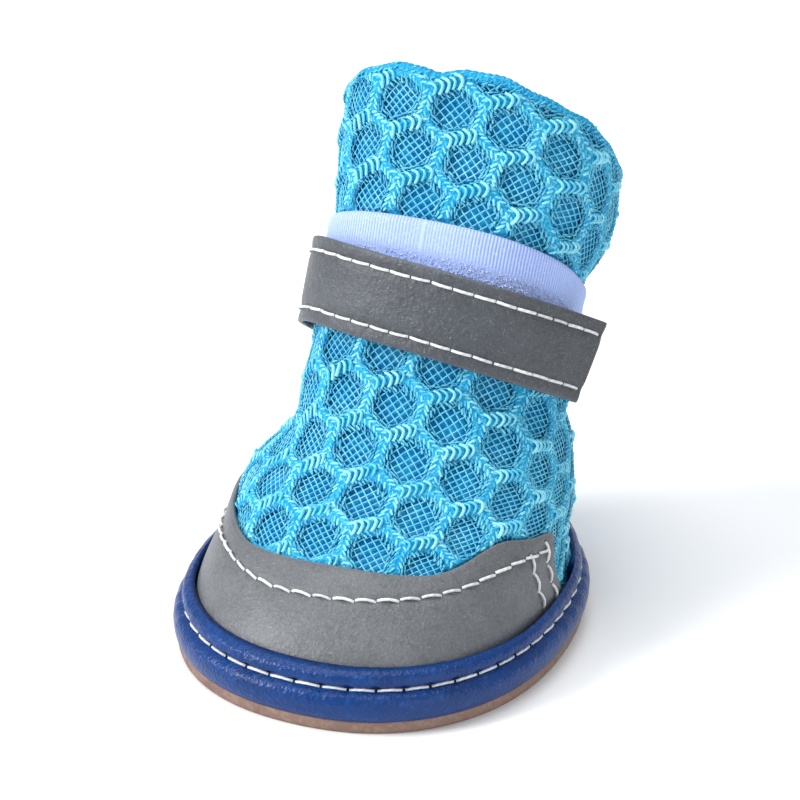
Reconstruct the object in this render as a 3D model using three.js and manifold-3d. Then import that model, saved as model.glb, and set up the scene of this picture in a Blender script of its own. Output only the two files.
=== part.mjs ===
// A small dog boot: a knitted spacer-mesh upper that runs from the toe to the collar in one piece, a
// leather toe cap, a leather binding sewn round a flat rubber outsole, and a hook-and-loop ankle strap.
// Millimetres. +Z is up and -Y is the toe. The origin is on the floor, under the middle of the sole.
import * as THREE from "three";
import { mergeVertices } from "three/addons/utils/BufferGeometryUtils.js";
import Module from "manifold-3d";

const wasm = await Module();
wasm.setup();

// ---- Driving dimensions ----
const GAP = 0.3; // clearance kept between pieces that lie on each other
const AROUND = 60; // facets round a full section
const CAP_FACETS = 90; // facets round the blocks that the toe cap is cut from
const SOLE = { thickness: 1.8, halfWidth: 24.1, halfLength: 30.4, edgeBevel: 0.5 };
const RIM = { halfWidth: 24.7, halfLength: 31, squareness: 2.2, egg: 0.02 }; // the binding's widest outline
const UPPER_WALL = 1.8;
const TURNED_EDGE = 0.06; // how far under the collar its turned edge starts, as a section position
const INSOLE = { thickness: 1.8, clearance: 0.35, feather: 7.4 }; // the feather line's height in front
const CAP_LEATHER = 0.7;
const CAP_CUT = { depth: 2.5, lowest: 0.02 }; // reach of the cut each side of the skin, and where it starts
const CAP_ROOM = 6; // degrees by which the binding's room for the cap runs past the cap
const LOOP_TAPE = { width: 12.5, thickness: 0.8, top: 7.07 };
const STRAP = { width: 10.8, leather: 0.7, sewnAt: -172, freeEnd: 7.8, lean: 8 };
const HOOK = { width: 9.6, thickness: 0.6, from: -120, shorter: 0.6 };
const SEAT_Z = SOLE.thickness + GAP; // underside of all that stands on the outsole

// The last, as sections from the sole up. Each lies in the plane through its front and back points, square
// to the boot's plane of symmetry, and is a superellipse: mid is its middle, wide its half width and
// square its squareness.
const LAST = [
  { name: "seat", frontY: -27.4, frontZ: SEAT_Z, backY: 27.2, backZ: SEAT_Z, mid: 0, wide: 21.4, square: 2.2 },
  { name: "feather", frontY: -26.8, frontZ: 7.4, backY: 27.4, backZ: 6.4, mid: 0, wide: 21.3, square: 2.2 },
  { name: "toe box", frontY: -21.2, frontZ: 12.4, backY: 27.8, backZ: 10.2, mid: 0, wide: 20.5, square: 2.1 },
  { name: "vamp", frontY: -12.9, frontZ: 17, backY: 28.4, backZ: 14, mid: -0.2, wide: 20.2, square: 2.1 },
  { name: "instep", frontY: -5, frontZ: 22, backY: 29.3, backZ: 17.6, mid: 0.5, wide: 17.7, square: 2.2 },
  { name: "throat", frontY: 1.8, frontZ: 29.6, backY: 30.3, backZ: 21.8, mid: 0, wide: 16.6, square: 2.35 },
  { name: "ankle", frontY: 6, frontZ: 39.5, backY: 30.9, backZ: 26.6, mid: 0, wide: 15.6, square: 2.5 },
  { name: "tape edge", frontY: 9.4, frontZ: 50.1, backY: 32.9, backZ: 31.9, mid: 0, wide: 15.5, square: 2.5 },
  { name: "shaft", frontY: 13, frontZ: 59.5, backY: 36.7, backZ: 38, mid: 0.5, wide: 17.4, square: 2.4 },
  { name: "collar", frontY: 15.9, frontZ: 68, backY: 40.8, backZ: 44.1, mid: 0, wide: 17.7, square: 2.3 },
];
const LAST_SIZES = ["frontY", "frontZ", "backY", "backZ", "mid", "wide", "square"];
const level = (name) => LAST.findIndex((row) => row.name === name);
const COLLAR = level("collar");

// Profile of the binding at one station: how far in from the rim, and how high. It runs from the outer
// foot over the full lower roll, the sewn groove and the thinner upper roll to the lip.
const BINDING = [
  { inset: 1.0, z: SEAT_Z },
  { inset: 0.15, z: 2.9 },
  { inset: 0.0, z: 3.9 },
  { inset: 0.45, z: 4.9 },
  { inset: 1.2, z: 5.6 },
  { inset: 1.1, z: 6.3 },
  { inset: 1.3, z: 7.2 },
  { inset: 2.0, z: 7.7 },
];
const BINDING_INSIDE = [0.98, 0.5, 0]; // section positions down its inner wall, from the lip to the seat

// Outline of the toe cap from its rear edge on the -X side, round the toe, to its rear edge on the +X
// side: the angle where it meets the sole, and the angle and section position of its upper edge. It is
// sewn on a little askew.
const CAP_EDGE = [
  { foot: -112, angle: -98, level: 2.45 },
  { foot: -96, angle: -88, level: 2.62 },
  { foot: -80, angle: -77, level: 2.66 },
  { foot: -66, angle: -66, level: 2.56 },
  { foot: -52, angle: -53, level: 2.45 },
  { foot: -36, angle: -38, level: 2.36 },
  { foot: -20, angle: -20, level: 2.42 },
  { foot: 0, angle: 0, level: 2.5 },
  { foot: 20, angle: 20, level: 2.49 },
  { foot: 33, angle: 33, level: 2.5 },
  { foot: 41, angle: 41, level: 2.62 },
  { foot: 50, angle: 49, level: 2.86 },
  { foot: 60, angle: 56, level: 2.95 },
  { foot: 80, angle: 68, level: 2.87 },
  { foot: 100, angle: 80, level: 2.8 },
  { foot: 103.5, angle: 84, level: 2.5 },
];
const CAP_SIZES = ["foot", "angle", "level"];

// Middle of the strap on the last, as a section position against the angle from the toe.
const STRAP_LINE = [
  { angle: -180, level: 5.8 },
  { angle: -90, level: 6.2 },
  { angle: -50, level: 6.24 },
  { angle: -10, level: 6.13 },
  { angle: 20, level: 6.03 },
  { angle: 62, level: 5.92 },
  { angle: 80, level: 5.88 },
];
const FREE_FROM = 62; // angle where the strap's free end leaves the ankle

// ---- Curves and surfaces ----
const SMALL_RISE = 0.02; // step up the last, as a section position
const SMALL_TURN = 1; // step round the last, in degrees
const radians = (degrees) => (degrees * Math.PI) / 180;
const signedPower = (v, p) => Math.sign(v) * Math.abs(v) ** p;
const column = (rows, key) => rows.map((row) => row[key]);

// Smooth value at position t through a column of evenly spaced rows (Catmull-Rom, with one-sided ends).
function through(values, t) {
  const last = values.length - 1;
  const i = Math.min(last - 1, Math.max(0, Math.floor(t)));
  const u = t - i;
  const slope = (k) => {
    if (k === 0) return values[1] - values[0];
    if (k === last) return values[last] - values[last - 1];
    return (values[k + 1] - values[k - 1]) / 2;
  };
  const u2 = u * u;
  const u3 = u2 * u;
  return (
    (2 * u3 - 3 * u2 + 1) * values[i] +
    (u3 - 2 * u2 + u) * slope(i) +
    (3 * u2 - 2 * u3) * values[i + 1] +
    (u3 - u2) * slope(i + 1)
  );
}

// Value at an angle, straight between the rows of a table that lists angles in rising order.
function betweenAngles(rows, angle, key) {
  const next = rows.findIndex((row) => row.angle >= angle);
  if (next === 0) return rows[0][key];
  if (next < 0) return rows[rows.length - 1][key];
  const [a, b] = [rows[next - 1], rows[next]];
  return a[key] + ((b[key] - a[key]) * (angle - a.angle)) / (b.angle - a.angle);
}

// A point of the last's skin. Angle 0 is the toe side, 90 is +X and 180 is the heel side.
function skin(t, angle) {
  const [fy, fz, by, bz, middle, w, n] = LAST_SIZES.map((key) => through(column(LAST, key), t));
  const back = (1 - signedPower(Math.cos(radians(angle)), 2 / n)) / 2;
  return new THREE.Vector3(
    middle + w * signedPower(Math.sin(radians(angle)), 2 / n),
    fy + (by - fy) * back,
    fz + (bz - fz) * back,
  );
}

// The unit direction out of the skin, up the skin, and round it, at a point.
function directions(t, angle) {
  const up = skin(Math.min(t + SMALL_RISE, COLLAR), angle).sub(skin(Math.max(t - SMALL_RISE, 0), angle));
  const round = skin(t, angle + SMALL_TURN).sub(skin(t, angle - SMALL_TURN));
  const out = new THREE.Vector3().crossVectors(round, up).normalize();
  return { out, up: up.normalize(), round: round.normalize() };
}

// A point at a distance outside the skin, or inside it where the distance is negative.
function offSkin(t, angle, distance) {
  return skin(t, angle).addScaledVector(directions(t, angle).out, distance);
}

// The section position that lies a distance down the skin from a start.
function downSkin(start, angle, distance) {
  let t = start;
  let left = distance;
  let from = skin(t, angle);
  while (left > 0 && t > SMALL_RISE) {
    t -= SMALL_RISE;
    const to = skin(t, angle);
    left -= to.distanceTo(from);
    from = to;
  }
  return t;
}

// A point of the rim outline, moved in by an inset.
function rim(angle, inset, z, halfWidth = RIM.halfWidth, halfLength = RIM.halfLength) {
  const p = 2 / RIM.squareness;
  const y = -(halfLength - inset) * signedPower(Math.cos(radians(angle)), p);
  const x = (halfWidth - inset) * signedPower(Math.sin(radians(angle)), p);
  return new THREE.Vector3(x * (1 - (RIM.egg * y) / RIM.halfLength), y, z);
}

// ---- Solids from sections ----
const angles = (count) => Array.from({ length: count }, (_, i) => (360 * i) / count - 180);
const steps = (from, to, count) =>
  Array.from({ length: count + 1 }, (_, i) => from + ((to - from) * i) / count);

function signedVolume(points, faces) {
  const cross = new THREE.Vector3();
  const volume = ([a, b, c]) => cross.crossVectors(points[a], points[b]).dot(points[c]) / 6;
  return faces.reduce((sum, face) => sum + volume(face), 0);
}

// A closed solid through a list of sections, each a closed loop with the same number of points. The
// sections close on each other ("ring"), or end in a fan ("disc") or in a strip between the two sides of a
// thin loop ("band").
function loft(sections, ends) {
  const count = sections[0].length;
  const points = sections.flat();
  const faces = [];
  const spans = ends === "ring" ? sections.length : sections.length - 1;
  for (let i = 0; i < spans; i++) {
    for (let j = 0; j < count; j++) {
      const [a, b] = [i * count + j, i * count + ((j + 1) % count)];
      const next = ((i + 1) % sections.length) * count - i * count;
      faces.push([a, b, b + next], [a, b + next, a + next]);
    }
  }
  if (ends !== "ring") {
    for (const [start, turned] of [[0, true], [(sections.length - 1) * count, false]]) {
      const cap = [];
      if (ends === "disc") {
        const centre = new THREE.Vector3();
        for (let j = 0; j < count; j++) centre.addScaledVector(points[start + j], 1 / count);
        points.push(centre);
        for (let j = 0; j < count; j++) cap.push([start + j, start + ((j + 1) % count), points.length - 1]);
      } else {
        for (let j = 0; j < count / 2 - 1; j++) {
          const [a, b, c, d] = [j, j + 1, count - 2 - j, count - 1 - j].map((k) => start + k);
          cap.push([a, b, c], [a, c, d]);
        }
      }
      faces.push(...(turned ? cap.map(([a, b, c]) => [a, c, b]) : cap));
    }
  }
  const outward = signedVolume(points, faces) > 0 ? faces : faces.map(([a, b, c]) => [a, c, b]);
  const geometry = new THREE.BufferGeometry().setFromPoints(points);
  geometry.setIndex(outward.flat());
  return geometry;
}

// A geometry as a solid that can be cut, and the way back.
function toSolid(geometry) {
  const plain = new THREE.BufferGeometry().setAttribute("position", geometry.getAttribute("position"));
  plain.setIndex(geometry.index);
  const merged = mergeVertices(plain, 1e-4);
  return new wasm.Manifold(
    new wasm.Mesh({
      numProp: 3,
      vertProperties: merged.attributes.position.array,
      triVerts: new Uint32Array(merged.index.array),
    }),
  );
}

function toGeometry(solid) {
  const mesh = solid.getMesh();
  const geometry = new THREE.BufferGeometry();
  geometry.setAttribute("position", new THREE.BufferAttribute(mesh.vertProperties, 3));
  return geometry.setIndex(new THREE.BufferAttribute(mesh.triVerts, 1));
}

// ---- The pieces ----
function outsole() {
  const { thickness, halfWidth, halfLength, edgeBevel } = SOLE;
  const ring = (inset, z) =>
    angles(AROUND).map((angle) => rim(angle, inset, z, halfWidth, halfLength));
  const levels = [[edgeBevel, 0], [0, edgeBevel], [0, thickness - edgeBevel / 2], [edgeBevel / 2, thickness]];
  return loft(levels.map(([inset, z]) => ring(inset, z)), "disc");
}

// The insole board fills the lasted margin: it follows the inside of the upper, a clearance away.
function insole() {
  const inside = -(UPPER_WALL + INSOLE.clearance);
  const rise = INSOLE.feather - SEAT_Z;
  const ring = (height) =>
    angles(AROUND).map((angle) => {
      const p = offSkin(height / rise, angle, inside);
      return p.setZ(SEAT_Z + height);
    });
  return loft([0, INSOLE.thickness / 2, INSOLE.thickness].map(ring), "disc");
}

// The upper is one hollow wall, open at the collar and under the foot. The collar edge is turned over and
// round.
function upper() {
  const rows = steps(0, COLLAR, 20);
  const inner = rows.filter((_, i) => i % 2 === 0 || i < 6);
  const station = (angle) => [
    ...rows.slice(0, -1).map((t) => offSkin(t, angle, 0)),
    offSkin(COLLAR - TURNED_EDGE, angle, 0),
    offSkin(COLLAR, angle, -UPPER_WALL / 2),
    ...inner.toReversed().map((t) => offSkin(Math.min(t, COLLAR - TURNED_EDGE), angle, -UPPER_WALL)),
  ];
  const onSole = (p) => p.setZ(Math.max(p.z, SEAT_Z));
  return loft(angles(AROUND).map((angle) => station(angle).map(onSole)), "ring");
}

// A closed block of the last's own shape, grown by a distance, tall enough to cut the toe cap from.
function lastBlock(grow) {
  const ring = (t) => angles(CAP_FACETS).map((angle) => offSkin(t, angle, grow));
  return toSolid(loft(steps(0, level("throat"), 15).map(ring), "disc"));
}

// The toe cap is the skin between two blocks of the last, cut square to that skin along its own outline:
// low over the toe, rising to an ear at each side, and down to the binding behind the ear.
function toeCap() {
  const { depth, lowest } = CAP_CUT;
  const rise = steps(0, 1, 5);
  const last = CAP_EDGE.length - 1;
  const station = (u) => {
    const [foot, angle, top] = CAP_SIZES.map((key) => through(column(CAP_EDGE, key), u));
    const at = (f, distance) =>
      offSkin(lowest + f * (top - lowest), foot + f * (angle - foot), distance);
    return [...rise.map((f) => at(f, depth)), ...rise.toReversed().map((f) => at(f, -depth))];
  };
  const cutter = toSolid(loft(steps(0, last, 4 * last).map(station), "disc"));
  const leather = lastBlock(GAP + CAP_LEATHER).subtract(lastBlock(GAP));
  return toGeometry(leather.intersect(cutter));
}

// The binding's inner wall keeps a gap from the toe cap in front, and from the bare upper behind it.
function binding() {
  const left = CAP_EDGE[0].foot - CAP_ROOM;
  const right = CAP_EDGE[CAP_EDGE.length - 1].foot + CAP_ROOM;
  const inside = (angle) => (angle < left || angle > right ? GAP : 2 * GAP + CAP_LEATHER);
  const station = (angle) => [
    ...BINDING.map(({ inset, z }) => rim(angle, inset, z)),
    ...BINDING_INSIDE.map((t) => offSkin(t, angle, inside(angle))),
  ];
  return loft(angles(AROUND).map((angle) => station(angle)), "ring");
}

function loopTape() {
  const [near, far] = [GAP, GAP + LOOP_TAPE.thickness];
  const station = (angle) => {
    const rows = steps(downSkin(LOOP_TAPE.top, angle, LOOP_TAPE.width), LOOP_TAPE.top, 4);
    return [
      ...rows.map((t) => offSkin(t, angle, far)),
      ...rows.toReversed().map((t) => offSkin(t, angle, near)),
    ];
  };
  return loft(angles(AROUND).map(station), "ring");
}

// One layer of the strap. It runs from the back, round the -X side and the front, and its free end leaves
// the ankle in a straight line. Its width stands square to its middle line, and leans forward towards the
// free end.
function strapLayer({ width, near, far, from, reach }) {
  const tapeOutside = GAP + LOOP_TAPE.thickness + GAP;
  const middle = (angle, depth) =>
    offSkin(betweenAngles(STRAP_LINE, angle, "level"), angle, tapeOutside + depth);
  const held = steps(from, FREE_FROM, 32).map((angle) => {
    const along = middle(angle + 2 * SMALL_TURN, 0).sub(middle(angle - 2 * SMALL_TURN, 0)).normalize();
    const { out } = directions(betweenAngles(STRAP_LINE, angle, "level"), angle);
    return { angle, along, out, across: new THREE.Vector3().crossVectors(out, along).normalize() };
  });
  const station = ({ angle, along, out, across }, distance, lean) => {
    const turned = across.clone().applyAxisAngle(out, -radians(lean));
    const point = (depth, side) =>
      middle(angle, depth).addScaledVector(along, distance).addScaledVector(turned, (side * width) / 2);
    const sides = [-1, 0, 1];
    return [
      ...sides.map((side) => point(far, side)),
      ...sides.toReversed().map((side) => point(near, side)),
    ];
  };
  const end = held[held.length - 1];
  const free = steps(0, reach, 4).slice(1);
  return loft(
    [
      ...held.map((frame) => station(frame, 0, 0)),
      ...free.map((distance) => station(end, distance, (STRAP.lean * distance) / reach)),
    ],
    "band",
  );
}

const HOOK_LAYER = {
  width: HOOK.width,
  near: 0,
  far: HOOK.thickness,
  from: HOOK.from,
  reach: STRAP.freeEnd - HOOK.shorter,
};
const LEATHER_LAYER = {
  width: STRAP.width,
  near: HOOK.thickness + GAP,
  far: HOOK.thickness + GAP + STRAP.leather,
  from: STRAP.sewnAt,
  reach: STRAP.freeEnd,
};

// ---- Assembly ----
const PIECES = [
  { name: "outsole", make: outsole, color: 0x9c7b6e, roughness: 0.75 },
  { name: "insole", make: insole, color: 0x3b4a63, roughness: 0.9 },
  { name: "binding", make: binding, color: 0x1f4fa3, roughness: 0.45 },
  { name: "upper", make: upper, color: 0x43b4e6, roughness: 0.85 },
  { name: "toe_cap", make: toeCap, color: 0x6c6e70, roughness: 0.55 },
  { name: "loop_tape", make: loopTape, color: 0xb9cdf2, roughness: 0.9 },
  { name: "hook_tape", make: () => strapLayer(HOOK_LAYER), color: 0x7d8288, roughness: 0.9 },
  { name: "strap", make: () => strapLayer(LEATHER_LAYER), color: 0x63676b, roughness: 0.55 },
];

const boot = new THREE.Group();
for (const { name, make, color, roughness } of PIECES) {
  const material = new THREE.MeshStandardMaterial({ color, roughness, metalness: 0 });
  const mesh = new THREE.Mesh(make(), material);
  mesh.name = name;
  boot.add(mesh);
}

export default boot;
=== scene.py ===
"""A small dog boot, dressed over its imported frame.

The boot has a knitted honeycomb upper, a grey leather toe cap and ankle strap, a pale loop tape, a blue
binding sewn round a tan rubber outsole, and an insole. Sizes in this file are millimetres unless a name
says otherwise, and they turn to metres as each mesh is made. +Z is up, the toe points to -Y, and the
strap's free end points to +X.
"""

import logging
import math
from dataclasses import dataclass, field
from enum import Enum
from typing import Any, Sequence

import bpy
import numpy as np
from mathutils import Matrix, Vector
from mathutils.kdtree import KDTree


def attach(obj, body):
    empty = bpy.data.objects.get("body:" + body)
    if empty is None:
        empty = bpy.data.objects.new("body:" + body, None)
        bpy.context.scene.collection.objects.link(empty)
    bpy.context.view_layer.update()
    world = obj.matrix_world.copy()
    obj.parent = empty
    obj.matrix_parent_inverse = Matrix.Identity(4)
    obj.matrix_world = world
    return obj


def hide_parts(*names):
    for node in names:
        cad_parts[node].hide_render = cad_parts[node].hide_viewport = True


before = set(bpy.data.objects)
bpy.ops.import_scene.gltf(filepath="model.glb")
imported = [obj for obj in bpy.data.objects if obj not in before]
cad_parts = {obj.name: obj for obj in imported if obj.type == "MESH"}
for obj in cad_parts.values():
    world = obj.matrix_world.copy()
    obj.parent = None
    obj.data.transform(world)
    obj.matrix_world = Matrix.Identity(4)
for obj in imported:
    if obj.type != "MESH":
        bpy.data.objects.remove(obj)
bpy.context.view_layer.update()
MM = 0.001
BODY = "root"
GAP = 0.3  # clearance between pieces that lie on each other
SEAT_Z = 2.1  # underside of all that stands on the outsole
LOG = logging.getLogger("dog_boot")

Array = np.ndarray
Colour = tuple[float, float, float, float]


# ---- Small sums ----
def signed_power(value: Array, power: Array) -> Array:
    """A power that keeps the sign of its base."""
    return np.sign(value) * np.abs(value) ** power


def unit(vectors: Array) -> Array:
    """Vectors brought to length one."""
    return vectors / np.maximum(np.linalg.norm(vectors, axis=-1, keepdims=True), 1e-12)


def bell(distance: Array, reach: float) -> Array:
    """A soft bump that is 1 at no distance and fades over the reach."""
    return np.exp(-((distance / reach) ** 2))


def smooth_step(value: Array, low: float, high: float) -> Array:
    """0 below low, 1 above high, and a smooth rise between them."""
    s = np.clip((value - low) / (high - low), 0, 1)
    return s * s * (3 - 2 * s)


def run_length(points: Array) -> Array:
    """Distance of each point of a line from its start."""
    steps = np.linalg.norm(np.diff(points, axis=0), axis=-1)
    return np.concatenate([[0.0], np.cumsum(steps)])


def spline(rows: Array, at: Array) -> Array:
    """Smooth values through evenly spaced rows.

    Args:
        rows: One row a knot, with its values on the last axis.
        at: Positions counted in rows.

    Returns:
        The values, by cubic spans whose slopes are one-sided at both ends.
    """
    rows = np.asarray(rows, float)
    slopes = np.gradient(rows, axis=0)
    i = np.clip(np.floor(at).astype(int), 0, len(rows) - 2)
    s = np.asarray(at, float) - i
    if rows.ndim > 1:
        s = s[..., None]
    s2, s3 = s * s, s * s * s
    return (
        (2 * s3 - 3 * s2 + 1) * rows[i]
        + (s3 - 2 * s2 + s) * slopes[i]
        + (3 * s2 - 2 * s3) * rows[i + 1]
        + (s3 - s2) * slopes[i + 1]
    )


def linear(shown: float) -> float:
    """The light behind a screen value from 0 to 1, by the sRGB curve."""
    return shown / 12.92 if shown <= 0.04045 else ((shown + 0.055) / 1.055) ** 2.4


def colour(code: str) -> Colour:
    """A screen colour such as "4DBDE8", red first, as linear light with full alpha."""
    red, green, blue = (int(code[i : i + 2], 16) / 255 for i in (0, 2, 4))
    return (linear(red), linear(green), linear(blue), 1.0)


# ---- Meshes ----
def lattice(rows: int, columns: int, ring_rows: bool = False, ring_columns: bool = False) -> Array:
    """Quads between the points of a lattice that is stored row by row.

    Args:
        rows: Number of rows.
        columns: Number of points in each row.
        ring_rows: Whether the last row joins the first.
        ring_columns: Whether each row closes on itself.

    Returns:
        Four point numbers a quad.
    """
    i = np.arange(rows if ring_rows else rows - 1)[:, None]
    j = np.arange(columns if ring_columns else columns - 1)[None, :]
    i2, j2 = (i + 1) % rows, (j + 1) % columns
    corners = [i * columns + j, i * columns + j2, i2 * columns + j2, i2 * columns + j]
    return np.stack(np.broadcast_arrays(*corners), axis=-1).reshape(-1, 4)


def mesh_object(
    name: str,
    points: Array,
    faces: Array | Sequence[Sequence[int]],
    finish: bpy.types.Material | None = None,
    marks: dict[str, Array] | None = None,
) -> bpy.types.Object:
    """A smooth mesh object at the origin, from points in millimetres.

    Args:
        name: The object's name.
        points: The points, with x, y and z on the last axis.
        faces: Point numbers of each face.
        finish: The material, if the mesh gets one here.
        marks: Values to store at the points, as named attributes.

    Returns:
        The object, linked to the scene.
    """
    flat = np.asarray(points, float).reshape(-1, 3)
    mesh = bpy.data.meshes.new(name)
    mesh.from_pydata((flat * MM).tolist(), [], [list(map(int, face)) for face in faces])
    for key, values in (marks or {}).items():
        values = np.asarray(values, np.float32)
        kind, slot = ("FLOAT_VECTOR", "vector") if values.size == 3 * len(flat) else ("FLOAT", "value")
        mesh.attributes.new(key, kind, "POINT").data.foreach_set(slot, values.ravel())
    mesh.shade_smooth()
    if finish is not None:
        mesh.materials.append(finish)
    made = bpy.data.objects.new(name, mesh)
    bpy.context.scene.collection.objects.link(made)
    return made


def drop_slivers(points: Array, faces: Array, least: float = 1e-4) -> Array:
    """The faces that have a real area.

    Args:
        points: All points.
        faces: Four point numbers a face.
        least: The smallest area kept, in square millimetres.

    Returns:
        The faces that stay.
    """
    flat = points.reshape(-1, 3)
    a, b, c, d = (flat[faces[:, k]] for k in range(4))
    area = 0.5 * np.linalg.norm(np.cross(c - a, d - b), axis=-1)
    return faces[area > least]


def shell(outer: Array, inner: Array, rim_lift: float = 0.0) -> tuple[Array, Array]:
    """A closed slab between two lattices of the same shape, with a rounded rim.

    Args:
        outer: Points of the outer face, as rows and columns.
        inner: Points of the inner face, in the same order.
        rim_lift: How far the middle of the rim stands out past the faces' edges.

    Returns:
        The points and the quads, facing out when the outer lattice's rows and columns turn that way.
    """
    rows, columns = outer.shape[:2]
    points = [outer.reshape(-1, 3), inner.reshape(-1, 3)]
    count = rows * columns
    index = np.arange(count).reshape(rows, columns)
    faces = [lattice(rows, columns), lattice(rows, columns)[:, ::-1] + count]
    edge = np.concatenate([index[0, :-1], index[:-1, -1], index[-1, :0:-1], index[:0:-1, 0]])
    middle = (points[0][edge] + points[1][edge]) / 2
    inward = np.concatenate([index[1, :-1], index[:-1, -2], index[-2, :0:-1], index[:0:-1, 1]])
    middle = middle + unit(points[0][edge] - points[0][inward]) * rim_lift
    points.append(middle)
    k = np.arange(len(edge))
    k2 = (k + 1) % len(edge)
    rim = k + 2 * count
    rim2 = k2 + 2 * count
    faces.append(np.stack([edge[k2], edge[k], rim, rim2], axis=-1))
    faces.append(np.stack([rim2, rim, edge[k] + count, edge[k2] + count], axis=-1))
    return np.concatenate(points), np.concatenate(faces)


def stack(rings: Sequence[Array], bottom: Array, top: Array) -> tuple[Array, list[list[int]]]:
    """A closed body of rings that lie one over the other.

    Args:
        rings: The rings, from the middle of the underside round to the middle of the top.
        bottom: The point in the middle of the first ring.
        top: The point in the middle of the last ring.

    Returns:
        The points and the faces.
    """
    count = len(rings[0])
    base, last_row = len(rings) * count, (len(rings) - 1) * count
    faces = lattice(len(rings), count, ring_columns=True).tolist()
    faces += [[(k + 1) % count, k, base] for k in range(count)]
    faces += [[last_row + k, last_row + (k + 1) % count, base + 1] for k in range(count)]
    return np.concatenate([*rings, [bottom, top]]), faces


def leather_marks(edge: Array, pressed: Array, count: int) -> dict[str, Array]:
    """The marks of a leather shell's cut edges, and of its needle holes, whose dents the leathers darken as
    painted shade.

    Args:
        edge: 1 along the cut edges of the outer face, and 0 elsewhere.
        pressed: How strongly each point of the outer face is pressed at a hole.
        count: Number of points of the whole shell.

    Returns:
        The marks, one value a point.
    """
    rest, worn = count - edge.size, 0.8
    return {
        "edge": np.concatenate([edge.ravel(), np.full(rest, worn)]),
        # the hole mark carries painted shade: the leathers darken the dents round the needle holes by it
        "hole": np.concatenate([pressed, np.zeros(rest)]),
    }


def nearest(places: Array, points: Array) -> Array:
    """How far points lie from the nearest of some places.

    Args:
        places: The places.
        points: The points.

    Returns:
        One distance a point.
    """
    tree = KDTree(len(places))
    for number, place in enumerate(places):
        tree.insert(place, number)
    tree.balance()
    return np.array([tree.find(point)[2] for point in points])


def sink(points: Array, outs: Array, holes: Array, reach: float, depth: float) -> tuple[Array, Array]:
    """Presses a soft dent into a surface at each needle hole.

    Args:
        points: Points of the surface.
        outs: Unit directions out of it.
        holes: Where the needle went through.
        reach: Radius of a dent.
        depth: Depth at its middle.

    Returns:
        The moved points, and how strongly each is pressed, from 0 to 1.
    """
    flat = points.reshape(-1, 3)
    strength = bell(nearest(holes, flat), reach)
    moved = flat - outs.reshape(-1, 3) * (strength * depth)[:, None]
    return moved.reshape(points.shape), strength


@dataclass(frozen=True)
class Path:
    """A line on a surface, with the directions out of the surface along it."""

    points: Array
    outs: Array

    def lengths(self) -> Array:
        """Distance of each point from the start."""
        return run_length(self.points)

    def at(self, distance: Array) -> "Path":
        """The points at given distances from the start.

        Args:
            distance: The distances, in millimetres.

        Returns:
            The points as a line of their own.
        """
        along = self.lengths()
        points = np.stack([np.interp(distance, along, self.points[:, k]) for k in range(3)], axis=-1)
        outs = np.stack([np.interp(distance, along, self.outs[:, k]) for k in range(3)], axis=-1)
        return Path(points, unit(outs))

    def seam(self, pitch: float, start: float = 0.0, stop: float = 0.0) -> tuple["Path", Array, Array]:
        """Splits the line into stitches of one length.

        Args:
            pitch: About how long each stitch is.
            start: Length left bare at the start.
            stop: Length left bare at the end.

        Returns:
            The stitches' middles, their directions, and the needle holes.
        """
        total = self.lengths()[-1] - start - stop
        count = max(1, round(total / pitch))
        holes = self.at(start + np.linspace(0, total, count + 1)).points
        middles = self.at(start + (np.arange(count) + 0.5) * total / count)
        return middles, unit(np.diff(holes, axis=0)), holes


# ---- The last and the cloth on it ----
@dataclass(frozen=True)
class Section:
    """One section of the last, in the slanted plane through its front and back points.

    Lengths are in millimetres; a section is a superellipse whose squareness is ``square``.
    """

    name: str
    front_y: float
    front_z: float
    back_y: float
    back_z: float
    mid_x: float
    wide: float
    square: float


@dataclass(frozen=True)
class Crease:
    """A soft ridge, or a trough where the height is negative, placed on the upper."""

    level: float
    angle: float
    level_reach: float
    angle_reach: float
    height: float


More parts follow.
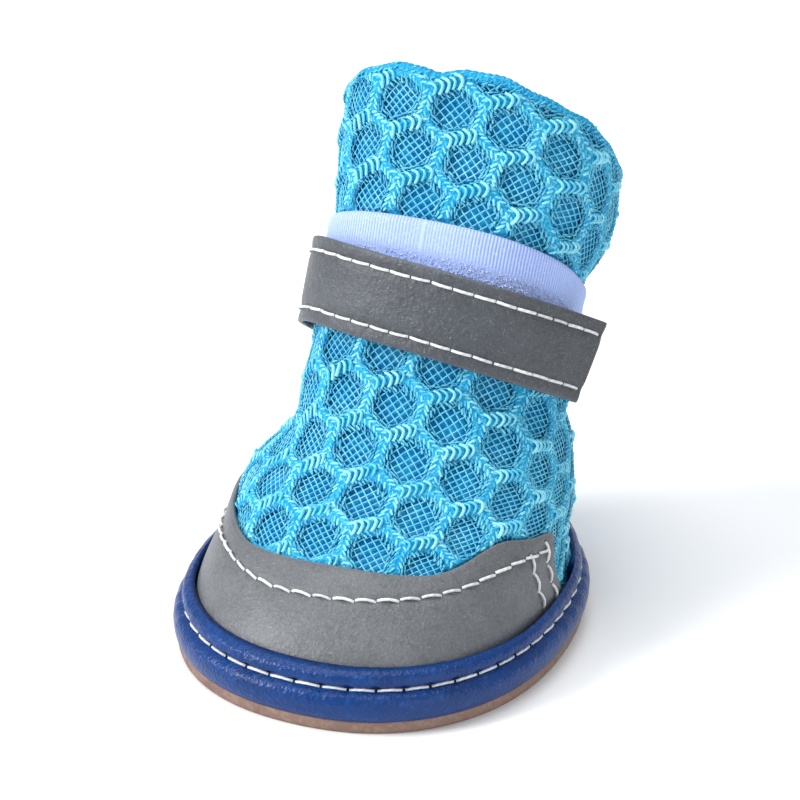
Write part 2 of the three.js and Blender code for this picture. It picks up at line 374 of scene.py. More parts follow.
@dataclass(frozen=True)
class Last:
    """The form that the boot is built on, the same as the solids of the frame are lofted on."""

    sections: tuple[Section, ...] = (
        Section("seat", -27.4, 2.1, 27.2, 2.1, 0.0, 21.4, 2.2),
        Section("feather", -26.8, 7.4, 27.4, 6.4, 0.0, 21.3, 2.2),
        Section("toe box", -21.2, 12.4, 27.8, 10.2, 0.0, 20.5, 2.1),
        Section("vamp", -12.9, 17.0, 28.4, 14.0, -0.2, 20.2, 2.1),
        Section("instep", -5.0, 22.0, 29.3, 17.6, 0.5, 17.7, 2.2),
        Section("throat", 1.8, 29.6, 30.3, 21.8, 0.0, 16.6, 2.35),
        Section("ankle", 6.0, 39.5, 30.9, 26.6, 0.0, 15.6, 2.5),
        Section("tape edge", 9.4, 50.1, 32.9, 31.9, 0.0, 15.5, 2.5),
        Section("shaft", 13.0, 59.5, 36.7, 38.0, 0.5, 17.4, 2.4),
        Section("collar", 15.9, 68.0, 40.8, 44.1, 0.0, 17.7, 2.3),
    )
    creases: tuple[Crease, ...] = ()

    @property
    def collar(self) -> float:
        """The level of the top edge."""
        return len(self.sections) - 1.0

    def column(self, key: str, level: Array) -> Array:
        """Smooth values of one column of the sections, at levels from 0, the seat, to the collar."""
        return spline([getattr(section, key) for section in self.sections], level)

    def skin(self, level: Array, angle: Array) -> Array:
        """Points of the bare last.

        Args:
            level: Section positions.
            angle: Degrees round from the toe; +90 is the +X side.

        Returns:
            Points in millimetres, with x, y and z on the last axis.
        """
        level, angle = np.broadcast_arrays(np.asarray(level, float), np.asarray(angle, float))
        turn = np.radians(angle)
        power = 2 / self.column("square", level)
        back = (1 - signed_power(np.cos(turn), power)) / 2
        front_y, front_z = self.column("front_y", level), self.column("front_z", level)
        x = self.column("mid_x", level) + self.column("wide", level) * signed_power(np.sin(turn), power)
        y = front_y + (self.column("back_y", level) - front_y) * back
        z = front_z + (self.column("back_z", level) - front_z) * back
        return np.stack([x, y, z], axis=-1)

    def out(self, level: Array, angle: Array) -> Array:
        """Unit directions out of the skin.

        Args:
            level: Section positions.
            angle: Degrees round from the toe.

        Returns:
            One unit vector a point.
        """
        rise, turn = 0.02, 1.0
        level, angle = np.broadcast_arrays(np.asarray(level, float), np.asarray(angle, float))
        high, low = np.minimum(level + rise, self.collar), np.maximum(level - rise, 0)
        up = self.skin(high, angle) - self.skin(low, angle)
        around = self.skin(level, angle + turn) - self.skin(level, angle - turn)
        return unit(np.cross(around, up))

    def off(self, level: Array, angle: Array, height: Array) -> Array:
        """Points at a height over the creased skin, or under it where the height is negative."""
        height = np.asarray(height, float) + self.crease_height(level, angle)
        return self.skin(level, angle) + self.out(level, angle) * height[..., None]

    def crease_height(self, level: Array, angle: Array) -> Array:
        """How far the creases lift the skin, in millimetres.

        Args:
            level: Section positions.
            angle: Degrees round from the toe.

        Returns:
            The sum of the creases' soft bells.
        """
        total = np.zeros(np.broadcast(level, angle).shape)
        for crease in self.creases:
            turn = (np.asarray(angle) - crease.angle + 180) % 360 - 180
            far = ((level - crease.level) / crease.level_reach) ** 2 + (turn / crease.angle_reach) ** 2
            total = total + crease.height * np.exp(-far)
        return total


class Cloth:
    """The knitted fabric's own coordinates on the last, in millimetres.

    u runs round the boot from the middle of the front, and v runs down from the collar.
    """

    LEVELS = 181
    ANGLES = 361
    HALF_ROUND = 68.0
    DEPTH = 84.0
    COLUMNS = 273
    ROWS = 169

    def __init__(self, last: Last) -> None:
        """Measures the last and turns it into a table from (u, v) to (level, angle).

        Args:
            last: The form that the fabric lies on.
        """
        self.last = last
        front = self.ANGLES // 2
        levels = np.linspace(0, last.collar, self.LEVELS)
        angles = np.linspace(-180, 180, self.ANGLES)
        points = last.skin(levels[:, None], angles[None, :])
        round_steps = np.linalg.norm(np.diff(points, axis=1), axis=-1)
        u = np.pad(np.cumsum(round_steps, axis=1), ((0, 0), (1, 0)))
        u -= u[:, front : front + 1]
        rises = np.linalg.norm(np.diff(points, axis=0), axis=-1)[::-1]
        v = np.pad(np.cumsum(rises, axis=0), ((1, 0), (0, 0)))[::-1]
        self.u_axis = np.linspace(-self.HALF_ROUND, self.HALF_ROUND, self.COLUMNS)
        self.v_axis = np.linspace(0, self.DEPTH, self.ROWS)
        self.level_table = np.empty((self.ROWS, self.COLUMNS))
        self.angle_table = np.empty((self.ROWS, self.COLUMNS))
        level_at = np.empty((self.ROWS, self.ANGLES))
        u_at = np.empty((self.ROWS, self.ANGLES))
        for j in range(self.ANGLES):
            level_at[:, j] = np.interp(self.v_axis, v[::-1, j], levels[::-1])
            u_at[:, j] = np.interp(level_at[:, j], levels, u[:, j])
        for i in range(self.ROWS):
            self.angle_table[i] = np.interp(self.u_axis, u_at[i], angles)
            self.level_table[i] = np.interp(self.u_axis, u_at[i], level_at[i])

    def locate(self, u: Array, v: Array) -> tuple[Array, Array]:
        """Finds points of the fabric on the last.

        Args:
            u: Lengths round the boot.
            v: Lengths down from the collar.

        Returns:
            The level and the angle of each point.
        """
        past = 1.001  # keeps every point inside the last square of the table
        x = (np.asarray(u) + self.HALF_ROUND) / (self.u_axis[1] - self.u_axis[0])
        y = np.asarray(v) / (self.v_axis[1] - self.v_axis[0])
        x, y = np.clip(x, 0, self.COLUMNS - past), np.clip(y, 0, self.ROWS - past)
        i, j = y.astype(int), x.astype(int)
        fy, fx = y - i, x - j
        both = []
        for table in (self.level_table, self.angle_table):
            top = table[i, j] * (1 - fx) + table[i, j + 1] * fx
            low = table[i + 1, j] * (1 - fx) + table[i + 1, j + 1] * fx
            both.append(top * (1 - fy) + low * fy)
        return both[0], both[1]


# ---- Nodes ----
def add_node(
    tree: bpy.types.NodeTree, kind: str, settings: dict[str, Any], inputs: dict[Any, Any]
) -> bpy.types.Node:
    """Adds a node to a material's or a geometry's tree.

    Args:
        tree: The tree.
        kind: The node's type.
        settings: Its properties, which are set first.
        inputs: Values or links, by socket name or number.

    Returns:
        The node.
    """
    made = tree.nodes.new(kind)
    for key, value in settings.items():
        setattr(made, key, value)
    for key, value in inputs.items():
        if isinstance(value, bpy.types.NodeSocket):
            tree.links.new(value, made.inputs[key])
        else:
            made.inputs[key].default_value = value
    return made


class Value:
    """A number that varies over a surface; sums written with it add Math nodes."""

    SMOOTH = {"interpolation_type": "SMOOTHSTEP"}

    def __init__(self, shader: "Shader", socket: bpy.types.NodeSocket) -> None:
        """Wraps an output socket of a shader's nodes."""
        self.shader, self.socket = shader, socket

    def sum(self, operation: str, *others: "Value | float", turned: bool = False) -> "Value":
        """Adds one Math node.

        Args:
            operation: The Math node's operation.
            others: Its other inputs.
            turned: Whether this value comes last instead of first.

        Returns:
            The node's result.
        """
        inputs = [*others, self] if turned else [self, *others]
        node = self.shader.node("ShaderNodeMath", {"operation": operation}, dict(enumerate(inputs)))
        return Value(self.shader, node.outputs[0])

    def __add__(self, other: "Value | float") -> "Value":
        """self + other."""
        return self.sum("ADD", other)

    def __sub__(self, other: "Value | float") -> "Value":
        """self - other."""
        return self.sum("SUBTRACT", other)

    def __rsub__(self, other: float) -> "Value":
        """other - self."""
        return self.sum("SUBTRACT", other, turned=True)

    def __mul__(self, other: "Value | float") -> "Value":
        """self * other."""
        return self.sum("MULTIPLY", other)

    __radd__, __rmul__ = __add__, __mul__

    def sine(self) -> "Value":
        """The sine of the value, in radians."""
        return self.sum("SINE")

    def between(self, low: float, high: float) -> "Value":
        """A smooth rise from 0 at low to 1 at high."""
        inputs = {"Value": self, "From Min": low, "From Max": high}
        return Value(self.shader, self.shader.node("ShaderNodeMapRange", self.SMOOTH, inputs).outputs[0])


class Shader:
    """A material that is being put together from nodes."""

    def __init__(self, name: str) -> None:
        """Starts an empty material.

        Args:
            name: The material's name.
        """
        self.material = bpy.data.materials.new(name)
        self.material.use_nodes = True
        self.tree = self.material.node_tree
        self.tree.nodes.clear()

    def node(self, kind: str, settings: dict[str, Any], inputs: dict[Any, Any]) -> bpy.types.Node:
        """Adds a node as add_node does, with Values among its inputs."""
        plain = {key: value.socket if isinstance(value, Value) else value for key, value in inputs.items()}
        return add_node(self.tree, kind, settings, plain)

    def place(self) -> bpy.types.NodeSocket:
        """Object coordinates, in metres."""
        return self.node("ShaderNodeTexCoord", {}, {}).outputs["Object"]

    def mark(self, name: str) -> Value:
        """A named attribute of the piece."""
        return Value(self, self.node("ShaderNodeAttribute", {"attribute_name": name}, {}).outputs["Fac"])

    def noise(self, size: float, detail: float = 2.0, rough: float = 0.5) -> Value:
        """Cloudy noise from 0 to 1, whose spots have a size in millimetres and finer layers over them."""
        inputs = {"Vector": self.place(), "Scale": 1000 / size, "Detail": detail, "Roughness": rough}
        return Value(self, self.node("ShaderNodeTexNoise", {}, inputs).outputs["Fac"])

    def cells(self, size: float) -> Value:
        """Distances within irregular cells of a width in millimetres, as a share of a cell."""
        inputs = {"Vector": self.place(), "Scale": 1000 / size}
        return Value(self, self.node("ShaderNodeTexVoronoi", {}, inputs).outputs["Distance"])

    def mix(self, factor: Value | float, a: Any, b: Any) -> bpy.types.NodeSocket:
        """Blends two colours or colour sockets, from the first at 0 to the second at 1."""
        node = self.node("ShaderNodeMix", {"data_type": "RGBA"}, {0: factor, 6: a, 7: b})
        return node.outputs[2]

    def bump(self, height: Value, depth: float, below: Any = None) -> bpy.types.NodeSocket:
        """Tilts the surface by a height map.

        Args:
            height: The height, from 0 to 1.
            depth: How deep its full range is, in millimetres.
            below: The normal of a coarser bump.

        Returns:
            The tilted normal.
        """
        inputs: dict[Any, Any] = {"Height": height, "Strength": 1.0, "Distance": depth * MM}
        if below is not None:
            inputs["Normal"] = below
        return self.node("ShaderNodeBump", {}, inputs).outputs["Normal"]

    def surface(self, **inputs: Any) -> bpy.types.Material:
        """Finishes the material with a Principled surface.

        Args:
            inputs: Its sockets, with underscores for the spaces of their names.

        Returns:
            The material.
        """
        named = {key.replace("_", " "): value for key, value in inputs.items()}
        shader = self.node("ShaderNodeBsdfPrincipled", {}, named)
        self.node("ShaderNodeOutputMaterial", {}, {"Surface": shader.outputs[0]})
        return self.material


# ---- Finishes ----
@dataclass(frozen=True)
class GreyLeather:
    """Coated grey leather with a fine grain and painted glints, for the toe cap and the strap."""

    name: str = "grey_leather"
    body: str = "585B5F"
    pale: str = "82868A"
    dark: str = "424447"
    glint: str = "A6A9AD"
    glint_amount: float = 0.6
    grain: float = 0.26
    grain_depth: float = 0.13
    roughness: float = 0.3
    shine: float = 0.45

    def material(self) -> bpy.types.Material:
        """Speckled colour, pitted grain, faintly worn edges, pale flecks that are painted glints, and painted
        shade round the needle holes.

        Returns:
            The material.
        """
        s = Shader(self.name)
        speck = s.noise(self.grain, 3, rough=0.7)
        cloud = s.noise(6.0, 2)
        pits = s.cells(self.grain * 2.2)
        # pale flecks: painted glints of the reflective grain, mixed into the base colour
        glints = (1 - s.cells(0.3).between(0.1, 0.26)) * s.noise(0.9, 1).between(0.42, 0.66)
        worn = speck.between(0.4, 0.8) * 0.4 + cloud.between(0.4, 0.7) * 0.15
        shade = s.mix(worn, colour(self.body), colour(self.pale))
        shade = s.mix(glints * self.glint_amount, shade, colour(self.glint))
        shade = s.mix(pits.between(0.55, 0.9) * 0.35, shade, colour(self.dark))
        edged = s.mix(s.mark("edge") * 0.55, shade, colour(self.pale))
        # painted shade: darker in the dents round the needle holes
        hole_shaded = s.mix(s.mark("hole").between(0.35, 0.95) * 0.75, edged, colour(self.dark))
        coarse = s.bump(s.noise(2.4, 3), 0.16, s.bump(s.noise(11.0, 1), 0.3))
        normal = s.bump(speck * 0.6 + pits * 0.4, self.grain_depth, coarse)
        return s.surface(
            Base_Color=hole_shaded,
            Roughness=self.roughness + 0.22 * s.noise(0.5, 2),
            Specular_IOR_Level=self.shine,
            Normal=normal,
        )


@dataclass(frozen=True)
class BindingLeather:
    """Soft royal blue leather with a satin grain."""

    name: str = "binding_leather"
    body: str = "05336F"
    pale: str = "2668BA"
    dark: str = "04204C"
    hole_shade_colour: str = "0B1533"
    grain: float = 0.45
    roughness: float = 0.22
    shine: float = 0.27

    def material(self) -> bpy.types.Material:
        """Pebbled grain, paler on the wrinkle crowns as a painted highlight, and darker round the needle
        holes in the sewn groove as painted shade.

        Returns:
            The material.
        """
        s = Shader(self.name)
        pebble = s.cells(self.grain)
        wrinkle = s.noise(1.1, 4, rough=0.6)
        # painted highlight: paler on the crowns of the wrinkles
        crown = s.mix(wrinkle.between(0.5, 0.8) * 0.28, colour(self.body), colour(self.pale))
        shade = s.mix(s.noise(7.0, 2).between(0.35, 0.75) * 0.4, crown, colour(self.dark))
        # painted shade: very dark in the dents round the needle holes in the groove
        hole_shaded = s.mix(s.mark("hole").between(0.45, 0.95) * 0.9, shade, colour(self.hole_shade_colour))
        normal = s.bump(pebble, 0.08, s.bump(wrinkle, 0.16))
        return s.surface(
            Base_Color=hole_shaded,
            Roughness=self.roughness + 0.2 * wrinkle,
            Specular_IOR_Level=self.shine,
            Normal=normal,
        )


@dataclass(frozen=True)
class Rubber:
    """Matt tan rubber."""

    name: str = "sole_rubber"
    body: str = "7F665B"
    pale: str = "9E8679"
    dark: str = "544038"
    roughness: float = 0.62
    shine: float = 0.4

    def material(self) -> bpy.types.Material:
        """Speckled, with darker cloudy patches.

        Returns:
            The material.
        """
        s = Shader(self.name)
        shade = s.mix(s.noise(0.6, 4).between(0.4, 0.75) * 0.5, colour(self.body), colour(self.pale))
        shade = s.mix(s.noise(3.5, 3).between(0.5, 0.8) * 0.45, shade, colour(self.dark))
        return s.surface(
            Base_Color=shade,
            Roughness=self.roughness + 0.2 * s.noise(0.9, 2),
            Specular_IOR_Level=self.shine,
            Normal=s.bump(s.noise(0.35, 4, rough=0.65), 0.07),
        )


@dataclass(frozen=True)
class Yarn:
    """Glossy blue yarn, twisted from two plies, whose shade varies from loop to loop."""

    name: str
    body: str
    pale: str
    dark: str
    roughness: float = 0.45
    twist: float = 5.0
    sheen: float = 0.3
    through: float = 0.0

    def material(self) -> bpy.types.Material:
        """Twisted plies from the loops' own length and girth, with painted shade in the grooves between the
        plies.

        Returns:
            The material.
        """
        s = Shader(self.name)
        along, girth = s.mark("thread_along"), s.mark("thread_girth")
        ply = (along * (2 * math.pi * self.twist) + girth * (2 * math.pi)).sine() * 0.5 + 0.5
        varied = s.mix(s.mark("shade"), colour(self.body), colour(self.pale))
        # painted shade in the grooves between the plies
        shade = s.mix((1 - ply) * 0.3, varied, colour(self.dark))
        return s.surface(
            Base_Color=shade,
            Roughness=self.roughness,
            Sheen_Weight=self.sheen,
            Sheen_Roughness=0.35,
            Subsurface_Weight=self.through,
            Subsurface_Radius=(0.3, 0.7, 1.0),
            Subsurface_Scale=0.0008,
            Normal=s.bump(ply, 0.05),
        )


@dataclass(frozen=True)
class KnitGround:
    """The close-knitted bands, net and backing of the upper, under the standing loops."""

    name: str
    body: str
    pale: str
    dark: str
    stitch: float = 0.42
    depth: float = 0.14
    cloud: float = 9.0
    roughness: float = 0.6
    shine: float = 0.15

    def material(self) -> bpy.types.Material:
        """Small knitted knots with painted shade between them, and painted light and shade: paler where the
        fabric stands highest and darker where it lies low.

        Returns:
            The material.
        """
        s = Shader(self.name)
        knots = s.cells(self.stitch)
        high = s.mark("high")
        # painted light and shade by the high mark: the dark colour where the fabric lies low, the body colour
        # where it stands high
        lit = s.mix(high.between(0.1, 0.95), colour(self.dark), colour(self.body))
        patch = s.mix(s.noise(self.cloud, 2).between(0.4, 0.68) * 0.6, lit, colour(self.pale))
        # painted shade in the gaps between the knots
        shade = s.mix(knots.between(0.3, 0.7) * 0.6, patch, colour(self.dark))
        return s.surface(
            Base_Color=shade,
            Roughness=self.roughness,
            Specular_IOR_Level=self.shine,
            Normal=s.bump(1 - knots, self.depth, s.bump(s.noise(0.9, 2), 0.12)),
        )


@dataclass(frozen=True)
class Ribbon:
    """Pale blue woven selvage and brushed ground of the loop tape."""

    name: str = "loop_fabric"
    body: str = "AEC1EE"
    pale: str = "CAD8F8"
    dark: str = "7C95D6"

    def material(self) -> bpy.types.Material:
        """Ribs across the selvage with painted shade in their grooves, and painted shade on the blue ground
        under the loops.

        Returns:
            The material.
        """
        s = Shader(self.name)
        ribs = s.mark("high")
        ground = s.mark("pile")
        weave = s.noise(0.3, 2)
        # painted shade in the grooves between the selvage's ribs, by the high mark
        shade = s.mix(ribs, colour(self.dark), colour(self.body))
        shade = s.mix(weave.between(0.5, 0.8) * 0.5, shade, colour(self.pale))
        # painted shade on the brushed ground under the loops, by the pile mark
        shade = s.mix(ground * weave.between(0.35, 0.6) * 0.7, shade, colour(self.dark))
        return s.surface(
            Base_Color=shade,
            Roughness=0.7,
            Sheen_Weight=0.3,
            Sheen_Roughness=0.4,
            Normal=s.bump(weave, 0.06),
        )


@dataclass(frozen=True)
class PlainCloth:
    """A plain close weave, for what lies inside the boot."""

    name: str
    body: str
    dark: str
    thread: float = 0.35

    def material(self) -> bpy.types.Material:
        """Crossed threads with painted shade between them, and soft random colour variation.

        Returns:
            The material.
        """
        s = Shader(self.name)
        split = s.node("ShaderNodeSeparateXYZ", {}, {"Vector": s.place()})
        turn = 2 * math.pi / (self.thread * MM)
        x, y, z = (Value(s, split.outputs[k]) for k in "XYZ")
        weave = (x * turn).sine() * ((y + z) * turn).sine() * 0.5 + 0.5
        # painted shade between the crossed threads, plus soft random colour variation
        shade = s.mix((1 - weave) * 0.5 + s.noise(5.0, 3) * 0.3, colour(self.body), colour(self.dark))
        return s.surface(
            Base_Color=shade,
            Roughness=0.85,
            Sheen_Weight=0.2,
            Normal=s.bump(weave, 0.08),
        )


# ---- Repeats by geometry nodes ----
class Loop(Enum):
    """The shapes that a thread takes between two places, each as start, bend and end.

    X runs along the seam or rib, Z stands out of the surface, and Y lies across.
    """

    STITCH = ((-0.5, 0.0, -0.1), (0.0, 0.0, 0.27), (0.5, 0.0, -0.1))
    HOOK = ((-0.12, 0.5, -0.05), (0.75, 0.05, 0.5), (-0.12, -0.5, -0.05))
    LEG = ((-0.5, 0.0, -0.1), (0.0, 0.12, 0.35), (0.5, 0.0, -0.1))
    PILE = ((-0.4, 0.0, -0.1), (0.0, 0.4, 0.6), (0.4, 0.0, -0.1))
    BARB = ((0.0, 0.0, 0.0), (0.0, 0.0, 1.6), (0.5, 0.0, 0.6))
    LUG = ((0.0, 0.0, 0.0), (0.0, 0.0, 0.5), (0.0, 0.0, 1.0))


class ThreadTree:
    """A geometry-nodes tree that puts one thread loop at each point of a mesh."""

    INPUTS = {
        "Vector": ("Start", "Bend", "End"),
        "Float": ("Length", "Thickness", "Taper", "Unevenness"),
        "Int": ("Bends", "Sides", "Seed"),
        "Material": ("Finish",),
    }

    def __init__(self) -> None:
        """Builds the tree."""
        self.tree = bpy.data.node_groups.new("thread_loops", "GeometryNodeTree")
        self.identifiers: dict[str, str] = {}
        face = self.tree.interface
        face.new_socket("Geometry", in_out="INPUT", socket_type="NodeSocketGeometry")
        face.new_socket("Geometry", in_out="OUTPUT", socket_type="NodeSocketGeometry")
        for kind, names in self.INPUTS.items():
            for name in names:
                socket = face.new_socket(name, in_out="INPUT", socket_type="NodeSocket" + kind)
                self.identifiers[name] = socket.identifier
        self.given = self.tree.nodes.new("NodeGroupInput").outputs
        self.link_up()

    def node(self, kind: str, settings: dict[str, Any], inputs: dict[Any, Any]) -> bpy.types.NodeSocket:
        """Adds a node as add_node does, and gives its first output."""
        return add_node(self.tree, kind, settings, inputs).outputs[0]

    def calc(self, operation: str, *inputs: Any) -> bpy.types.NodeSocket:
        """Adds a Math node and gives its result."""
        return self.node("ShaderNodeMath", {"operation": operation}, dict(enumerate(inputs)))

    def mark(self, name: str, kind: str) -> bpy.types.NodeSocket:
        """Reads a named attribute of the points."""
        return self.node("GeometryNodeInputNamedAttribute", {"data_type": kind}, {"Name": name})

    def link_up(self) -> None:
        """Draws the loop, gives it girth, places it along each point's own directions and realizes it."""
        given, node = self.given, self.node
        ends = [
            node("ShaderNodeVectorMath", {"operation": "SCALE"}, {0: given[name], "Scale": given["Length"]})
            for name in ("Start", "Bend", "End")
        ]
        bent = {"Resolution": given["Bends"], "Start": ends[0], "Middle": ends[1], "End": ends[2]}
        line = node("GeometryNodeCurveQuadraticBezier", {}, bent)
        factor = node("GeometryNodeSplineParameter", {}, {})
        near_end = self.calc("MULTIPLY_ADD", self.calc("PINGPONG", factor, 0.5), -2.0, 1.0)
        loss = self.calc("MULTIPLY", self.calc("POWER", near_end, 3.0), given["Taper"])
        girth = self.calc("SUBTRACT", 1.0, loss)
        line = node("GeometryNodeSetCurveRadius", {}, {"Curve": line, "Radius": girth})
        line = self.store(line, "thread_along", factor)
        radius = self.calc("MULTIPLY", given["Thickness"], 0.5)
        ring = node("GeometryNodeCurvePrimitiveCircle", {}, {"Resolution": given["Sides"], "Radius": radius})
        ring = self.store(ring, "thread_girth", node("GeometryNodeSplineParameter", {}, {}))
        tube = node("GeometryNodeCurveToMesh", {}, {"Curve": line, "Profile Curve": ring, "Fill Caps": True})
        tube = node("GeometryNodeSetShadeSmooth", {}, {"Geometry": tube, "Shade Smooth": True})
        align = "FunctionNodeAlignRotationToVector"
        turn = node(align, {"axis": "X"}, {"Vector": self.mark("along", "FLOAT_VECTOR")})
        upright = {"Rotation": turn, "Vector": self.mark("out", "FLOAT_VECTOR")}
        turn = node(align, {"axis": "Z", "pivot_axis": "X"}, upright)
        most = self.calc("ADD", 1.0, given["Unevenness"])
        least = self.calc("SUBTRACT", 1.0, given["Unevenness"])
        scale = self.calc("MULTIPLY", self.chance(least, most), self.mark("size", "FLOAT"))
        stood = {"Points": given["Geometry"], "Instance": tube, "Rotation": turn, "Scale": scale}
        placed = node("GeometryNodeInstanceOnPoints", {}, stood)
        placed = self.store(placed, "shade", self.chance(0.0, 1.0), "INSTANCE")
        solid = node("GeometryNodeRealizeInstances", {}, {"Geometry": placed})
        dressed = node("GeometryNodeSetMaterial", {}, {"Geometry": solid, "Material": given["Finish"]})
        add_node(self.tree, "NodeGroupOutput", {}, {0: dressed})

    def chance(self, least: Any, most: Any) -> bpy.types.NodeSocket:
        """A random number for each loop, from the tree's seed."""
        inputs = {2: least, 3: most, "Seed": self.given["Seed"]}
        return add_node(self.tree, "FunctionNodeRandomValue", {"data_type": "FLOAT"}, inputs).outputs[1]

    def store(self, geometry: Any, name: str, value: Any, domain: str = "POINT") -> bpy.types.NodeSocket:
        """Stores a number under a name.

        Args:
            geometry: What it is stored on.
            name: The attribute's name.
            value: The number.
            domain: The points or the instances.

        Returns:
            The geometry with its attribute.
        """
        inputs = {"Geometry": geometry, "Name": name, "Value": value}
        settings = {"data_type": "FLOAT", "domain": domain}
        return self.node("GeometryNodeStoreNamedAttribute", settings, inputs)


@dataclass
class Threads:
    """Thread loops of one kind, gathered point by point and made into one mesh.

    Lengths are in millimetres.
    """

    tree: ThreadTree
    name: str
    loop: Loop
    finish: bpy.types.Material
    length: float
    thickness: float
    taper: float = 0.5
    bends: int = 5
    sides: int = 6
    unevenness: float = 0.08
    seed: int = 1
    points: list[Array] = field(default_factory=list)
    alongs: list[Array] = field(default_factory=list)
    outs: list[Array] = field(default_factory=list)
    sizes: list[Array] = field(default_factory=list)

    def add(self, points: Array, alongs: Array, outs: Array, sizes: Array | float = 1.0) -> None:
        """Adds loops.

        Args:
            points: Where they stand.
            alongs: The direction of each one's length.
            outs: The direction out of the surface.
            sizes: How much larger or smaller each is.
        """
        points = np.asarray(points, float).reshape(-1, 3)
        self.points.append(points)
        self.alongs.append(np.broadcast_to(alongs, points.shape))
        self.outs.append(np.broadcast_to(outs, points.shape))
        self.sizes.append(np.broadcast_to(np.asarray(sizes, float), points.shape[:1]))

    def make(self) -> bpy.types.Object:
        """Runs the tree on the gathered points.

        Returns:
            The loops as one plain mesh object.
        """
        marks = {
            "along": np.concatenate(self.alongs),
            "out": np.concatenate(self.outs),
            "size": np.concatenate(self.sizes),
        }
        seeds = mesh_object(self.name + "_points", np.concatenate(self.points), [], marks=marks)
        modifier = seeds.modifiers.new("loops", "NODES")
        modifier.node_group = self.tree.tree
        values = dict(zip(("Start", "Bend", "End"), self.loop.value))
        values |= {"Length": self.length * MM, "Thickness": self.thickness * MM, "Finish": self.finish}
        plain = ("Taper", "Bends", "Sides", "Unevenness", "Seed")
        values |= {name: getattr(self, name.lower()) for name in plain}
        for name, value in values.items():
            modifier[self.tree.identifiers[name]] = value
        shown = seeds.evaluated_get(bpy.context.evaluated_depsgraph_get())
        mesh = bpy.data.meshes.new_from_object(shown)
        mesh.name = self.name
        made = bpy.data.objects.new(self.name, mesh)
        bpy.context.scene.collection.objects.link(made)
        bpy.data.objects.remove(seeds)
        return made


# ---- The boot's pieces ----
def finish_piece(piece: bpy.types.Object, slot: str, *nodes: str) -> bpy.types.Object:
    """Rides a piece on the boot and hides the nodes that it stands for.

    Args:
        piece: The piece.
        slot: Not used.
        nodes: The names of the solids that it replaces.

    Returns:
        The piece.
    """
    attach(piece, BODY)
    if nodes:
        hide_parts(*nodes)
    piece.data.calc_loop_triangles()
    LOG.info("%s: %d triangles", piece.name, len(piece.data.loop_triangles))
    return piece


@dataclass(frozen=True)
class CapEdge:
    """One place on the toe cap's outline: its foot at the sole and its upper edge on the last."""

    foot: float
    angle: float
    level: float


CAP_EDGES = (
    CapEdge(-112, -98, 2.45),
    CapEdge(-96, -88, 2.62),
    CapEdge(-80, -77, 2.66),
    CapEdge(-66, -66, 2.56),
    CapEdge(-52, -53, 2.45),
    CapEdge(-36, -38, 2.36),
    CapEdge(-20, -20, 2.42),
    CapEdge(0, 0, 2.5),
    CapEdge(20, 20, 2.49),
    CapEdge(33, 33, 2.5),
    CapEdge(41, 41, 2.62),
    CapEdge(50, 49, 2.86),
    CapEdge(60, 56, 2.95),
    CapEdge(80, 68, 2.87),
    CapEdge(100, 80, 2.8),
    CapEdge(103.5, 84, 2.5),
)


def cap_top(angle: Array) -> Array:
    """The level of the toe cap's upper edge, and 0 behind the cap."""
    angles = [edge.angle for edge in CAP_EDGES]
    return np.interp(angle, angles, [edge.level for edge in CAP_EDGES], left=0.0, right=0.0)


